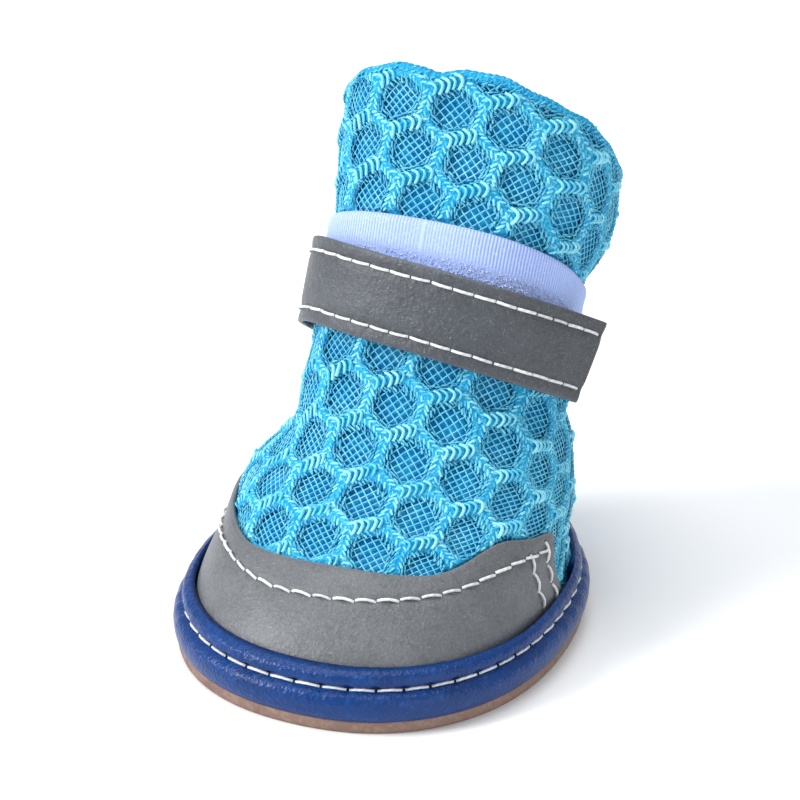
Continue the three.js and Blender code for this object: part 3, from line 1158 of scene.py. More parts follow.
@dataclass(frozen=True)
class LoopTape:
    """The pale band of loop tape round the ankle."""

    last: Last
    width: float = 12.5
    thickness: float = 0.8
    top: float = 7.07
    rib: float = 0.43
    rib_height: float = 0.1
    selvage: float = 4.3
    brushed_depth: float = 0.12
    edge_depth: float = 0.25
    middle_level: float = 6.6
    loops: int = 6400
    stations: int = 900
    rows: int = 22

    def edges(self) -> tuple[Array, Array]:
        """Follows the tape's lower edge round the boot.

        Returns:
            Whole degrees from the toe, and the level of the edge at each.
        """
        angles = np.arange(-180, 181, 1.0)
        levels = np.linspace(0, self.last.collar, 361)
        points = self.last.skin(levels[:, None], angles[None, :])
        down = np.linalg.norm(np.diff(points, axis=0), axis=-1)
        run = np.pad(np.cumsum(down, axis=0), ((1, 0), (0, 0)))
        low = np.empty(len(angles))
        for j in range(len(angles)):
            top_run = np.interp(self.top, levels, run[:, j])
            low[j] = np.interp(top_run - self.width, run[:, j], levels)
        return angles, low

    def build(self, strap: "Strap", pile: Threads) -> list[bpy.types.Object]:
        """Makes the band with its ribbed selvage and its standing loops.

        Args:
            strap: The strap that covers most of the tape.
            pile: Where the standing loops are gathered.

        Returns:
            The band and its loops.
        """
        angles = np.linspace(-180, 180, self.stations, endpoint=False)
        low = np.interp(angles, *self.edges())
        across = np.linspace(0, 1, self.rows)
        levels = self.top + (low - self.top)[:, None] * across[None, :]
        turned = np.broadcast_to(angles[:, None], levels.shape)
        lengths = np.broadcast_to(self.round_length(angles)[:, None], levels.shape)
        ribs = 0.5 + 0.5 * np.cos(2 * math.pi * lengths / self.rib)
        down = across * self.width
        woven = 1 - smooth_step(np.minimum(down, self.width - down), self.selvage - 0.5, self.selvage + 0.2)
        rise = self.rib_height * ribs * woven[None, :] - self.brushed_depth * (1 - woven[None, :])
        rise[:, [0, -1]] -= self.edge_depth
        outer = self.last.off(levels, turned, GAP + self.thickness + rise)
        inner = self.last.off(levels, turned, GAP)
        ring = np.concatenate([outer, inner[:, ::-1]], axis=1)
        faces = lattice(len(angles), ring.shape[1], ring_rows=True, ring_columns=True)[:, ::-1]
        # marks for painted shade: high darkens the selvage's rib grooves, pile darkens the brushed ground
        # under the loops
        ribbed = ribs * woven[None, :] + 0.6 * (1 - woven[None, :])
        high = np.concatenate([ribbed, np.zeros_like(ribs)], axis=1)
        ground = np.concatenate([np.broadcast_to(1 - woven, ribs.shape), np.zeros_like(ribs)], axis=1)
        band = mesh_object("loop_tape_band", ring, faces, Ribbon().material(), {"high": high, "pile": ground})
        self.grow_loops(strap, pile)
        return [band, pile.make()]

    def round_length(self, angles: Array) -> Array:
        """Length round the tape's middle, stretched to a whole number of ribs.

        Args:
            angles: Degrees round from the toe.

        Returns:
            The length at each angle.
        """
        middle = self.last.off(self.middle_level, angles, 1.0)
        run = run_length(middle)
        total = run[-1] + np.linalg.norm(middle[-1] - middle[0])
        return run * (round(total / self.rib) * self.rib / total)

    def grow_loops(self, strap: "Strap", pile: Threads) -> None:
        """Scatters standing loops over the brushed middle, where the strap leaves it bare.

        Args:
            strap: The strap.
            pile: Where the loops are gathered.
        """
        rng = np.random.default_rng(7)
        angles = rng.uniform(-180, 180, self.loops)
        down = rng.uniform(self.selvage - 0.1, self.width - self.selvage + 0.1, self.loops)
        low = np.interp(angles, *self.edges())
        levels = self.top + (low - self.top) * down / self.width
        points = self.last.off(levels, angles, GAP + self.thickness - self.brushed_depth)
        under = 0.8  # how far the loops go on below the strap
        seen = strap.distance(points) > strap.width / 2 - under
        points, levels, angles = points[seen], levels[seen], angles[seen]
        outs = self.last.out(levels, angles)
        turn = rng.uniform(0, 2 * math.pi, len(points))
        side = unit(np.cross(outs, [0.0, 0.0, 1.0]))
        alongs = side * np.cos(turn)[:, None] + np.cross(outs, side) * np.sin(turn)[:, None]
        tilted = unit(outs + 0.5 * rng.normal(size=outs.shape))
        pile.add(points, alongs, tilted, rng.uniform(0.7, 1.2, len(points)))


@dataclass(frozen=True)
class Strap:
    """The ankle strap: a leather band with a hook strip inside, and a free end on the +X side."""

    last: Last
    width: float = 10.8
    leather: float = 0.7
    hook: float = 0.6
    hook_width: float = 9.6
    free_end: float = 7.8
    free_from: float = 62.0
    sewn_from: float = -172.0
    hook_from: float = -120.0
    lean: float = 8.0
    row_inset: float = 1.75
    pitch: float = 2.8
    spacing: float = 0.3
    columns: int = 29
    fine: int = 400
    line: tuple[tuple[float, float], ...] = (
        (-180, 5.8),
        (-90, 6.2),
        (-50, 6.24),
        (-10, 6.13),
        (20, 6.03),
        (62, 5.92),
        (80, 5.88),
    )

    def level(self, angle: Array) -> Array:
        """The level of the strap's middle line, softened at the places that it is given by."""
        rounded = [np.interp(np.asarray(angle) + k, *zip(*self.line)) for k in (-9, -4.5, 0, 4.5, 9)]
        return sum(rounded) / len(rounded)

    def middle(self, angle: Array, depth: Array | float) -> Array:
        """Points of the middle line, at a depth outside the loop tape."""
        deep = GAP + LoopTape.thickness + GAP + np.asarray(depth, float)
        return self.last.off(self.level(angle), angle, deep)

    def distance(self, points: Array) -> Array:
        """How far points lie from the strap's middle line.

        Args:
            points: Points near the loop tape.

        Returns:
            The distances, which grow large behind the sewn end.
        """
        past = 8  # degrees past the place where the free end leaves the boot
        angles = np.arange(self.sewn_from, self.free_from + past, 1.0)
        return nearest(self.middle(angles, 0.0), points)

    def frames(self, start: float, reach: float, spacing: float) -> dict[str, Array]:
        """The middle line with its own directions, evenly spaced, and on along the free end.

        Args:
            start: Angle of the sewn end.
            reach: Length of the free end.
            spacing: Distance between stations.

        Returns:
            The points, and the directions along, across and out, by name. Across leans along the free end.
        """
        angles = np.linspace(start, self.free_from, self.fine)
        run = run_length(self.middle(angles, 0.0))
        even = np.interp(np.arange(0, run[-1], spacing), run, angles)
        points = self.middle(even, 0.0)
        along = unit(self.middle(even + 2, 0.0) - self.middle(even - 2, 0.0))
        out = self.last.out(self.level(even), even)
        out = unit(out - along * (out * along).sum(axis=-1, keepdims=True))
        steps = np.arange(spacing, reach + 1e-6, spacing)
        points = np.concatenate([points, points[-1] + along[-1] * steps[:, None]])
        along = np.concatenate([along, np.repeat(along[-1:], len(steps), axis=0)])
        out = np.concatenate([out, np.repeat(out[-1:], len(steps), axis=0)])
        lean = np.concatenate([np.zeros(len(even)), np.radians(self.lean) * steps / reach])
        across = unit(np.cross(out, along))
        leaned = across * np.cos(lean)[:, None] - np.cross(out, across) * np.sin(lean)[:, None]
        return {"point": points, "along": along, "across": leaned, "out": out}

    def place(self, frames: dict[str, Array], side: Array, depth: Array) -> Array:
        """Points of the strap.

        Args:
            frames: The middle line with its directions.
            side: Distances across the strap, a row of them for each station.
            depth: Distances out of it, in the same shape.

        Returns:
            The points.
        """
        return (
            frames["point"][:, None, :]
            + frames["across"][:, None, :] * side[..., None]
            + frames["out"][:, None, :] * depth[..., None]
        )

    def rows(self, frames: dict[str, Array], depth: float) -> list[Path]:
        """The two lines of sewing.

        Args:
            frames: The middle line with its directions.
            depth: How far out they lie.

        Returns:
            The lines.
        """
        count = len(frames["point"])
        found = []
        for side in (-1, 1):
            across = np.full((count, 1), side * (self.width / 2 - self.row_inset))
            found.append(Path(self.place(frames, across, np.full((count, 1), depth))[:, 0], frames["out"]))
        return found

    def build(self, stitches: Threads, finish: bpy.types.Material) -> bpy.types.Object:
        """Makes the leather band and sews its two rows.

        Args:
            stitches: Where the stitches are gathered.
            finish: The leather.

        Returns:
            The band.
        """
        frames = self.frames(self.sewn_from, self.free_end, self.spacing)
        near, far = self.hook + GAP, self.hook + GAP + self.leather
        count = len(frames["point"])
        half = signed_power(np.linspace(-1, 1, self.columns), 0.85) * self.width / 2
        sides = np.broadcast_to(half, (count, len(half)))
        sag = 0.16 * bell(np.abs(half) - (self.width / 2 - self.row_inset), 0.7)
        crown = 0.1 * (1 - (half / (self.width / 2)) ** 2)
        outer_depth = np.broadcast_to(far - 0.08 - sag + crown, sides.shape).copy()
        outer_depth[:, [0, -1]] -= 0.08
        outer = self.place(frames, sides, outer_depth)
        inner = self.place(frames, sides, np.full(sides.shape, near))
        outs = np.broadcast_to(frames["out"][:, None, :], outer.shape)
        holes = []
        for path in self.rows(frames, far - 0.05):
            middles, alongs, pricks = path.seam(self.pitch, 0.6, 0.6)
            holes.append(pricks)
            across = np.cross(middles.outs, alongs)
            leans = 0.03 * np.sin(2.4 * np.arange(len(alongs)))[:, None]
            stitches.add(middles.points, unit(alongs + leans * across), middles.outs)
        outer, pressed = sink(outer, outs, np.concatenate(holes), 0.45, 0.14)
        points, faces = shell(outer, inner, 0.06)
        edge = np.zeros(outer.shape[:2])
        edge[:, [0, -1]] = 1
        edge[[0, -1], :] = 1
        marks = leather_marks(edge, pressed, len(points))
        return mesh_object("strap_leather", points, faces[:, ::-1], finish, marks)

    def build_hooks(self, barbs: Threads) -> list[bpy.types.Object]:
        """Makes the hook strip on the strap's inner face, and its barbs where they show.

        Args:
            barbs: Where the barbs are gathered.

        Returns:
            The strip and its barbs.
        """
        columns = 13
        frames = self.frames(self.hook_from, self.free_end - 0.6, 0.8)
        half = np.linspace(-0.5, 0.5, columns) * self.hook_width
        sides = np.broadcast_to(half, (len(frames["point"]), columns))
        outer = self.place(frames, sides, np.full(sides.shape, self.hook + 0.1))
        inner = self.place(frames, sides, np.full(sides.shape, self.hook - 0.25))
        points, faces = shell(outer, inner, 0.04)
        cloth = PlainCloth("hook_fabric", "70757B", "3E4247").material()
        strip = mesh_object("hook_tape_strip", points, faces[:, ::-1], cloth)
        free = self.frames(self.free_from - 8, self.free_end - 1.0, 0.75)
        side = np.broadcast_to(np.arange(-4.2, 4.3, 0.7), (len(free["point"]), columns))
        feet = self.place(free, side, np.full(side.shape, self.hook - 0.25))
        alongs, inwards = (np.repeat(rows, columns, axis=0) for rows in (free["along"], -free["out"]))
        barbs.add(feet.reshape(-1, 3), alongs, inwards)
        return [strip, barbs.make()]


@dataclass(frozen=True)
class ToeCap:
    """The grey leather cap over the toe, with an ear at each side.

    Its seams are listed as places, each by angle and level.
    """

    last: Last
    leather: float = 0.7
    lowest: float = 0.02
    pitch: float = 2.7
    stations: int = 330
    rows: int = 60
    seam: tuple[tuple[float, float], ...] = (
        (-100, 2.05),
        (-88, 2.08),
        (-76, 2.06),
        (-63, 2.00),
        (-49, 2.02),
        (-37, 1.98),
        (-27, 1.95),
        (-16, 1.95),
        (-8, 1.98),
        (-1, 2.0),
        (14, 2.05),
        (30, 2.12),
        (38, 2.17),
        (47, 2.25),
        (56, 2.38),
        (65, 2.48),
        (75, 2.48),
        (81, 2.5),
    )
    ends: tuple[tuple[tuple[float, float], ...], ...] = (
        ((70, 2.55), (75, 2.12), (80, 1.65), (85, 1.12)),
        ((77, 2.70), (83, 2.12), (89, 1.45), (92, 0.95)),
        ((-86, 2.35), (-91, 1.9), (-96, 1.4), (-100, 0.95)),
    )

    def line(self, places: Sequence[tuple[float, float]], height: float) -> Path:
        """A smooth line on the cap.

        Args:
            places: The places that it goes through, as angle and level.
            height: How high over the last it lies.

        Returns:
            The line.
        """
        at = np.linspace(0, len(places) - 1, 40 * len(places))
        angle, level = spline(np.array(places), at).T
        return Path(self.last.off(level, angle, height), self.last.out(level, angle))

    def build(self, stitches: Threads, finish: bpy.types.Material) -> bpy.types.Object:
        """Makes the cap and sews it on.

        Args:
            stitches: Where the stitches are gathered.
            finish: The leather.

        Returns:
            The cap.
        """
        table = np.array([(edge.foot, edge.angle, edge.level) for edge in CAP_EDGES])
        stations = spline(table, np.linspace(0, len(table) - 1, self.stations))
        up = 1 - (1 - np.linspace(0, 1, self.rows)) ** 1.15
        foot, top_angle, top = (stations[:, k, None] for k in range(3))
        level = self.lowest + up * (top - self.lowest)
        angle = foot + up * (top_angle - foot)
        far = GAP + self.leather
        lines = [self.line(places, far) for places in (self.seam, *self.ends)]
        holes = []
        for path in lines:
            middles, alongs, pricks = path.seam(self.pitch)
            holes.append(pricks)
            skew = unit(alongs - 0.09 * np.cross(middles.outs, alongs))
            stitches.add(middles.points, skew, middles.outs)
        waves = 0.05 * np.sin(angle / 7.0) * np.sin(level * 3.1 + angle / 19.0)
        outer = self.last.off(level, angle, far - 0.04 + waves - 0.1 * smooth_step(up, 0.97, 1.0))
        inner = self.last.off(level, angle, np.full(level.shape, GAP))
        outs = self.last.out(level, angle)
        sewn = [path.at(np.arange(0, path.lengths()[-1], 0.4)).points for path in lines]
        outer, _ = sink(outer, outs, np.concatenate(sewn), 0.6, 0.1)
        outer, pressed = sink(outer, outs, np.concatenate(holes), 0.4, 0.16)
        points, faces = shell(outer, inner, 0.05)
        edge = np.zeros(outer.shape[:2])
        edge[:, -1] = 1
        edge[[0, -1], :] = 1
        marks = leather_marks(edge, pressed, len(points))
        return mesh_object("toe_cap_leather", points, faces[:, ::-1], finish, marks)


@dataclass(frozen=True)
class Rim:
    """The outline that the binding and the outsole share."""

    half_width: float
    half_length: float
    squareness: float = 2.2
    egg: float = 0.02
    FINE = np.linspace(-180, 180, 1441)

    def at(self, angle: Array, inset: Array, height: Array) -> Array:
        """Points of the outline.

        Args:
            angle: Degrees round from the toe.
            inset: How far inside the outline.
            height: The z of the points.

        Returns:
            The points.
        """
        angle, inset, height = np.broadcast_arrays(np.asarray(angle, float), inset, height)
        power = 2 / self.squareness
        y = -(self.half_length - inset) * signed_power(np.cos(np.radians(angle)), power)
        x = (self.half_width - inset) * signed_power(np.sin(np.radians(angle)), power)
        return np.stack([x * (1 - self.egg * y / self.half_length), y, height], axis=-1)

    def even_angles(self, count: int) -> Array:
        """Angles at equal steps of length round the outline, from -180 on."""
        run = run_length(self.at(self.FINE, 0.0, 0.0))
        return np.interp(np.arange(count) * run[-1] / count, run, self.FINE)

    def length(self) -> float:
        """Length of the outline."""
        return float(run_length(self.at(self.FINE, 0.0, 0.0))[-1])


@dataclass(frozen=True)
class Binding:
    """The leather strip sewn round the sole: a full lower roll, a sewn groove and a thinner upper roll.

    Each row of its profile is how far inside the rim it lies, and its height. The groove is one of them.
    """

    last: Last
    rim: Rim = Rim(24.7, 31.0)
    pitch: float = 3.6
    profile: tuple[tuple[float, float], ...] = (
        (0.45, 1.75),
        (0.08, 2.6),
        (0.0, 3.9),
        (0.45, 4.9),
        (1.5, 5.55),
        (1.08, 6.3),
        (1.3, 7.2),
        (2.0, 7.7),
    )
    groove: int = 4
    puff: float = 0.16
    stations: int = 720
    rows: int = 44

    def build(self, stitches: Threads) -> bpy.types.Object:
        """Makes the strip, drawn in at each stitch.

        Args:
            stitches: Where the stitches are gathered.

        Returns:
            The strip.
        """
        around, upper_roll = self.stations, 6.2
        angles = self.rim.even_angles(around)
        rows = np.linspace(0, len(self.profile) - 1, self.rows)
        inset, height = spline(np.array(self.profile), rows).T
        count = round(self.rim.length() / self.pitch)
        phase = np.arange(around) * count / around
        between = 0.5 - 0.5 * np.cos(2 * math.pi * phase)
        near_groove = bell(rows - self.groove, 1.6)
        swell = self.puff * (between[:, None] - 0.6) * near_groove[None, :]
        slow = 0.1 * np.sin(np.radians(angles) * 5 + 1.0) + 0.07 * np.sin(np.radians(angles) * 11)
        swell = swell + slow[:, None] * bell(rows - upper_roll, 1.4)[None, :]
        outer = self.rim.at(angles[:, None], inset[None, :] - swell, height[None, :])
        levels = np.array([0.98, 0.75, 0.5, 0.25, 0.0])
        past = 6  # degrees past the cap's foot
        capped = (angles > CAP_EDGES[0].foot - past) & (angles < CAP_EDGES[-1].foot + past)
        inside = np.where(capped, 2 * GAP + ToeCap.leather, GAP)
        depths = np.broadcast_to(inside[:, None], (around, len(levels)))
        inner = self.last.off(levels[None, :], angles[:, None], depths)
        ring = np.concatenate([outer, inner], axis=1)
        turns = np.arange(around + 1) * count / around
        hole_angles = np.interp(np.arange(count), turns, np.append(angles, 180))
        groove_inset, groove_z = self.profile[self.groove]
        pricks = self.rim.at(hole_angles, groove_inset, groove_z)
        heart = np.array([0.0, 0.0, 4.5])
        tilt = unit(ring - heart)
        ring, pressed = sink(ring, tilt, pricks, 0.5, 0.28)
        self.sew(stitches, hole_angles)
        faces = lattice(around, ring.shape[1], ring_rows=True, ring_columns=True)[:, ::-1]
        # the hole mark paints shade into the dents round the needle holes
        return mesh_object("binding_leather", ring, faces, BindingLeather().material(), {"hole": pressed})

    def sew(self, stitches: Threads, hole_angles: Array) -> None:
        """Lays one stitch from each needle hole to the next.

        Args:
            stitches: Where the stitches are gathered.
            hole_angles: The holes' angles round the outline.
        """
        inset, height = self.profile[self.groove]
        here = self.rim.at(hole_angles, inset - 0.1, height + 0.02)
        there = np.roll(here, -1, axis=0)
        outs = unit(here + there) * [1, 1, 0]
        outs = unit(unit(outs) + [0, 0, 0.75])
        apart = np.linalg.norm(there - here, axis=-1)
        stitches.add((here + there) / 2, unit(there - here), outs, apart / self.pitch)


@dataclass(frozen=True)
class Outsole:
    """The flat rubber sole, with a field of small hexagon lugs underneath."""

    rim: Rim = Rim(24.1, 30.4)
    thickness: float = 1.8
    bevel: float = 0.5
    border: float = 3.2
    lug: float = 2.6
    lug_height: float = 0.45
    lug_gap: float = 0.75
    stations: int = 360

    def build(self, tree: ThreadTree) -> list[bpy.types.Object]:
        """Makes the slab and its lugs.

        Args:
            tree: The tree that makes the lugs.

        Returns:
            The slab and the lugs.
        """
        finish = Rubber().material()
        angles = self.rim.even_angles(self.stations)
        steps = (
            (14.0, self.lug_height),
            (8.0, self.lug_height),
            (self.border + 0.4, self.lug_height),
            (self.border, self.lug_height - 0.1),
            (self.border - 0.15, 0.06),
            (self.border - 0.3, 0.0),
            (self.bevel, 0.0),
            (self.bevel * 0.3, self.bevel * 0.25),
            (0.0, self.bevel),
            (0.04, 1.0),
            (0.0, self.thickness - 0.3),
            (0.08, self.thickness - 0.1),
            (0.3, self.thickness),
            (4.0, self.thickness),
            (14.0, self.thickness),
        )
        rings = [self.rim.at(angles, inset, z) for inset, z in steps]
        points, faces = stack(rings, np.array([0, 0, self.lug_height]), np.array([0, 0, self.thickness]))
        slab = mesh_object("outsole_rubber", points, faces, finish)
        return [slab, self.build_lugs(tree, finish)]

    def build_lugs(self, tree: ThreadTree, finish: bpy.types.Material) -> bpy.types.Object:
        """Makes the hexagon lugs inside the border.

        Args:
            tree: The tree that stands a six-sided post at each place.
            finish: The rubber.

        Returns:
            The lugs as one mesh.
        """
        step = self.lug + self.lug_gap
        row_step = 0.866 * step  # the rows of a field of hexagons lie closer than its columns
        clear = self.border + self.lug / 2 + 0.5
        reach_x, reach_y = self.rim.half_width - clear, self.rim.half_length - clear
        rows = int(2 * self.rim.half_length / row_step) + 2
        columns = int(2 * self.rim.half_width / step) + 2
        places = []
        for i in range(-rows // 2, rows // 2 + 1):
            for j in range(-columns // 2, columns // 2 + 1):
                x, y = (j + 0.5 * (i % 2)) * step, i * row_step
                if abs(x / reach_x) ** self.rim.squareness + abs(y / reach_y) ** self.rim.squareness < 1:
                    places.append((x, y, 0.0))
        lugs = Threads(tree, "outsole_lugs", Loop.LUG, finish, self.lug_height, self.lug, 0.1, 1, 6, 0.0)
        lugs.add(places, (1.0, 0.0, 0.0), (0.0, 0.0, 1.0))
        return lugs.make()


@dataclass(frozen=True)
class Insole:
    """The soft board inside the lasted margin.

    Each row of its profile is a share of the outline, and a height.
    """

    last: Last
    depth: float = 2.15
    stations: int = 180
    profile: tuple[tuple[float, float], ...] = (
        (0.3, 0.0),
        (0.93, 0.0),
        (0.985, 0.15),
        (1.0, 0.5),
        (1.0, 1.3),
        (0.985, 1.65),
        (0.93, 1.8),
        (0.8, 1.76),
        (0.6, 1.68),
        (0.3, 1.62),
    )
    crown: float = 1.6

    def build(self) -> bpy.types.Object:
        """Makes the board with a softly crowned top.

        Returns:
            The board.
        """
        angles = np.linspace(-180, 180, self.stations, endpoint=False)
        low = 0.15  # the level of the last whose outline the board follows
        edge = self.last.off(low, angles, -self.depth)
        rings = [edge * [share, share, 0] + [0, 0, SEAT_Z + z] for share, z in self.profile]
        points, faces = stack(rings, np.array([0, 0, SEAT_Z]), np.array([0, 0, SEAT_Z + self.crown]))
        cloth = PlainCloth("insole_fabric", "2A4C8C", "16294F").material()
        return mesh_object("insole_board", points, faces, cloth)


@dataclass(frozen=True)
class Honeycomb:
    """The lattice of open cells that is knitted into the fabric, in the cloth's own u and v.

    Each row gives the v and u of its reference cell. The rows shear a little, as stretched cloth does.
    """

    rows: tuple[tuple[float, float], ...] = (
        (-7.7, -4.4),
        (-1.5, -1.9),
        (4.7, 0.6),
        (10.4, 3.1),
        (16.6, 5.8),
        (22.8, 7.75),
        (29.0, 9.7),
        (35.8, 11.65),
        (42.0, 14.05),
        (48.3, 17.45),
        (55.2, 21.15),
        (62.0, 25.25),
        (69.0, 29.25),
        (76.0, 33.2),
    )
    pitch: float = 7.25
    slope: float = 0.08
    half_width: float = 68.0
    around: tuple[tuple[int, int], ...] = ((0, 1), (1, 0), (1, -1), (0, -1), (-1, 0), (-1, 1))

    def centre(self, row: int, column: int) -> Array:
        """The middle of a cell, as u and v."""
        u = self.rows[row][1] + self.pitch * column
        return np.array([u, self.rows[row][0] + self.slope * u])

    def corners(self, row: int, column: int) -> Array:
        """The six corners of a cell; corner k lies between its neighbours k and k + 1.

        Args:
            row: The cell's row.
            column: Its number in the row.

        Returns:
            The u and v of each.
        """
        middle = self.centre(row, column)
        near = [self.centre(row + i, column + j) for i, j in self.around]
        return np.array([(middle + near[k] + near[(k + 1) % 6]) / 3 for k in range(6)])

    def cells(self) -> list[tuple[int, int]]:
        """Every cell that has a full ring of neighbours.

        Returns:
            The row and the column of each.
        """
        found = []
        for row in range(1, len(self.rows) - 1):
            u = self.rows[row][1]
            first = math.ceil((-self.half_width - u) / self.pitch)
            last = math.floor((self.half_width - u) / self.pitch)
            found += [(row, column) for column in range(first, last + 1)]
        return found


HEM_WAVES = ((0.3, 3, 0.9), (0.2, 7, 0.0), (0.12, 17, 2.0))  # height, turns round the boot, phase


class Rib(Enum):
    """The three ribs that a cell owns, by the corners at their two ends."""

    UPRIGHT = (5, 0)
    RISING = (1, 0)
    FALLING = (2, 1)


@dataclass(frozen=True)
class Upper:
    """The knitted upper: a close backing, a fine net, a raised honeycomb of bands, and standing loops."""

    last: Last
    cloth: Cloth
    tape_low: tuple[Array, Array]
    honeycomb: Honeycomb = Honeycomb()
    band: float = 0.85
    band_height: float = 0.62
    opening: float = 2.85
    backing: float = -0.42
    wall: float = 1.75
    front: float = 12.0
    slack: float = 42.0
    drawn_in: float = 35.0
    net_thread: float = 0.19
    hem_stations: int = 620
    hem_wide: float = 1.0
    hem_tall: float = 0.85
    hem_knot: int = 5
    hooks_a_rib: int = 5
    legs_a_rib: int = 6
    leg_side: float = 0.36
    tuft_rows: tuple[tuple[float, int], ...] = ((0.85, 7), (1.25, 6))

    def under(self, level: Array, angle: Array) -> Array:
        """How deep a point lies under the toe cap or the tape; negative outside them.

        Args:
            level: Section positions.
            angle: Degrees round from the toe.

        Returns:
            The depths, in about millimetres.
        """
        level_at_cap, level_over_tape, level_under_tape, degree = 7.0, 9.5, 8.0, 0.35  # lengths on the skin
        first, last = CAP_EDGES[0], CAP_EDGES[-1]
        left = first.foot + (first.angle - first.foot) * level / first.level
        right = last.foot + (last.angle - last.foot) * level / last.level
        below = (cap_top(np.clip(angle, first.angle, last.angle)) - level) * level_at_cap
        cap = np.minimum(below, np.minimum(right - angle, angle - left) * degree)
        above = (level - np.interp(angle, *self.tape_low)) * level_under_tape
        return np.maximum(cap, np.minimum((LoopTape.top - level) * level_over_tape, above))

    def press(self, level: Array, angle: Array) -> Array:
        """1 where the fabric stands free and 0 where a piece lies flat on it."""
        return smooth_step(-self.under(level, angle), -0.1, 0.8)

    def drawn(self, angle: Array) -> Array:
        """0 in front, up to 1 at either side, where the fabric is drawn tight and flat."""
        return smooth_step(np.abs(angle - self.front), self.slack, self.slack + self.drawn_in)

    def place(self, u: Array, v: Array, height: Array) -> Array:
        """Points of the fabric, pressed flat under what is sewn on it and tucked into the collar's roll.

        Args:
            u: Lengths round the boot.
            v: Lengths down from the collar.
            height: Heights over the skin where the fabric stands free.

        Returns:
            The points.
        """
        pressed_height, flatter = -0.12, 0.35
        level, angle = self.cloth.locate(u, v)
        press = self.press(level, angle)
        limit = self.hem_level(angle)
        tucked = 0.4 + 0.6 * smooth_step(limit - level, 0.0, 0.08)
        lower = (1 - flatter * self.drawn(angle) * (height > 0)) * tucked
        level = np.minimum(level, limit)
        return self.last.off(level, angle, height * lower * press + pressed_height * (1 - press))

    @staticmethod
    def hem_rise(angle: Array) -> Array:
        """How far the collar's edge waves up and down, in millimetres."""
        waves = [high * np.sin(turns * np.radians(angle) + phase) for high, turns, phase in HEM_WAVES]
        return sum(waves) - 0.8 * bell(angle + 4, 5.0) + 0.35 * bell(angle + 22, 14.0)

    def hem_level(self, angle: Array) -> Array:
        """The level in the middle of the collar's roll, where a millimetre is about 0.11 of a level."""
        return self.last.collar - 0.05 + 0.11 * self.hem_rise(angle)

    def shown_cells(self) -> list[tuple[int, int]]:
        """Finds the cells that show: above the sole, off the seam, and not deep under the cap or the tape.

        Returns:
            The row and the column of each.
        """
        shown = []
        for cell in self.honeycomb.cells():
            corners = self.honeycomb.corners(*cell)
            level, angle = self.cloth.locate(corners[:, 0], corners[:, 1])
            covered = self.under(level, angle) > 0.8
            hidden = (np.abs(angle) > 179.9, level < 0.3, covered, corners[:, 1] < 0.2)
            if not any(places.all() for places in hidden):
                shown.append(cell)
        return shown

    def build_bands(self, finish: bpy.types.Material) -> bpy.types.Object:
        """Makes the raised bands, one ring of faces round each open cell.

        Args:
            finish: The knitted ground.

        Returns:
            The bands as one mesh.
        """
        side = 7
        count = 6 * side
        steps = np.array([0.0, 0.22, 0.45, 0.66, 0.84, 1.0, 1.04])
        heights = np.array([0.9, 0.97, 1.0, 0.8, 0.45, 0.08, -0.4]) * self.band_height
        # painted light and shade for each ring: brightest on the band's crown, darkening down into the open
        # cell
        ring_light = np.array([0.85, 0.95, 1.0, 0.8, 0.55, 0.3, 0.1])
        points, faces, marks = [], [], []
        share = np.arange(side)[:, None] / side
        for number, cell in enumerate(self.shown_cells()):
            middle = self.honeycomb.centre(*cell)
            corners = self.honeycomb.corners(*cell)
            after = np.roll(corners, -1, axis=0)
            border = np.concatenate([a + share * (b - a) for a, b in zip(corners, after)])
            spoke = border - middle
            length = np.linalg.norm(spoke, axis=-1, keepdims=True)
            apothem = np.linalg.norm((corners + after) / 2 - middle, axis=-1).mean()
            inner = np.minimum(length * (1 - self.band / apothem), self.opening)
            hole = middle + spoke / length * inner
            rings = border[None] + (hole - border)[None] * steps[:, None, None]
            height = np.broadcast_to(heights[:, None], rings.shape[:2])
            points.append(self.place(rings[..., 0], rings[..., 1], height).reshape(-1, 3))
            faces.append(lattice(len(steps), count, ring_columns=True) + number * len(steps) * count)
            marks.append(np.repeat(ring_light, count))
        every = np.concatenate(points)
        kept = drop_slivers(every, np.concatenate(faces))
        return mesh_object("upper_bands", every, kept, finish, {"high": np.concatenate(marks)})

    def build_net(self, finish: bpy.types.Material) -> bpy.types.Object:
        """Makes the fine diagonal net across the open cells.

        Args:
            finish: The net's yarn.

        Returns:
            The net as one mesh.
        """
        reach, shortest = self.opening + 0.3, 0.5
        sag = np.array([-0.05, 0.02, 0.03, 0.02, -0.05])
        starts, ends = [], []
        for side in (1, -1):
            for cell in self.shown_cells():
                middle = self.honeycomb.centre(*cell)
                turn = side * math.radians(self.net_turn(middle[0]))
                way = np.array([math.cos(turn), math.sin(turn)])
                normal = np.array([-way[1], way[0]])
                base = middle @ normal
                pitch = self.net_pitch(middle[0], turn > 0)
                first, last = math.ceil((base - reach) / pitch), math.floor((base + reach) / pitch)
                for off in np.arange(first, last + 1) * pitch - base:
                    half = math.sqrt(max(reach * reach - off * off, 0))
                    if half > shortest:
                        near = middle + normal * off
                        starts.append(near - way * half)
                        ends.append(near + way * half)
        start, end = np.array(starts), np.array(ends)
        share = np.linspace(0, 1, len(sag))[None, :, None]
        line = start[:, None] + (end - start)[:, None] * share
        line = line + np.random.default_rng(8).normal(0, 0.04, line.shape)
        points = self.place(line[..., 0], line[..., 1], np.broadcast_to(sag, line.shape[:2]))
        level, angle = self.cloth.locate(line[..., 0], line[..., 1])
        outs = self.last.out(level, angle)
        along = unit(np.gradient(points, axis=1))
        side = unit(np.cross(outs, along))
        half, flat = self.net_thread / 2, 0.8
        ring = [side * half, outs * half * flat, -side * half, -outs * half * flat]
        tubes = np.stack([points + offset for offset in ring], axis=2)
        keep = np.linalg.norm(points[:, -1] - points[:, 0], axis=-1) > 0.4
        keep &= self.press(level, angle).max(axis=1) > 0.05
        tubes = tubes[keep]
        one = lattice(len(sag), len(ring), ring_columns=True)[:, ::-1]
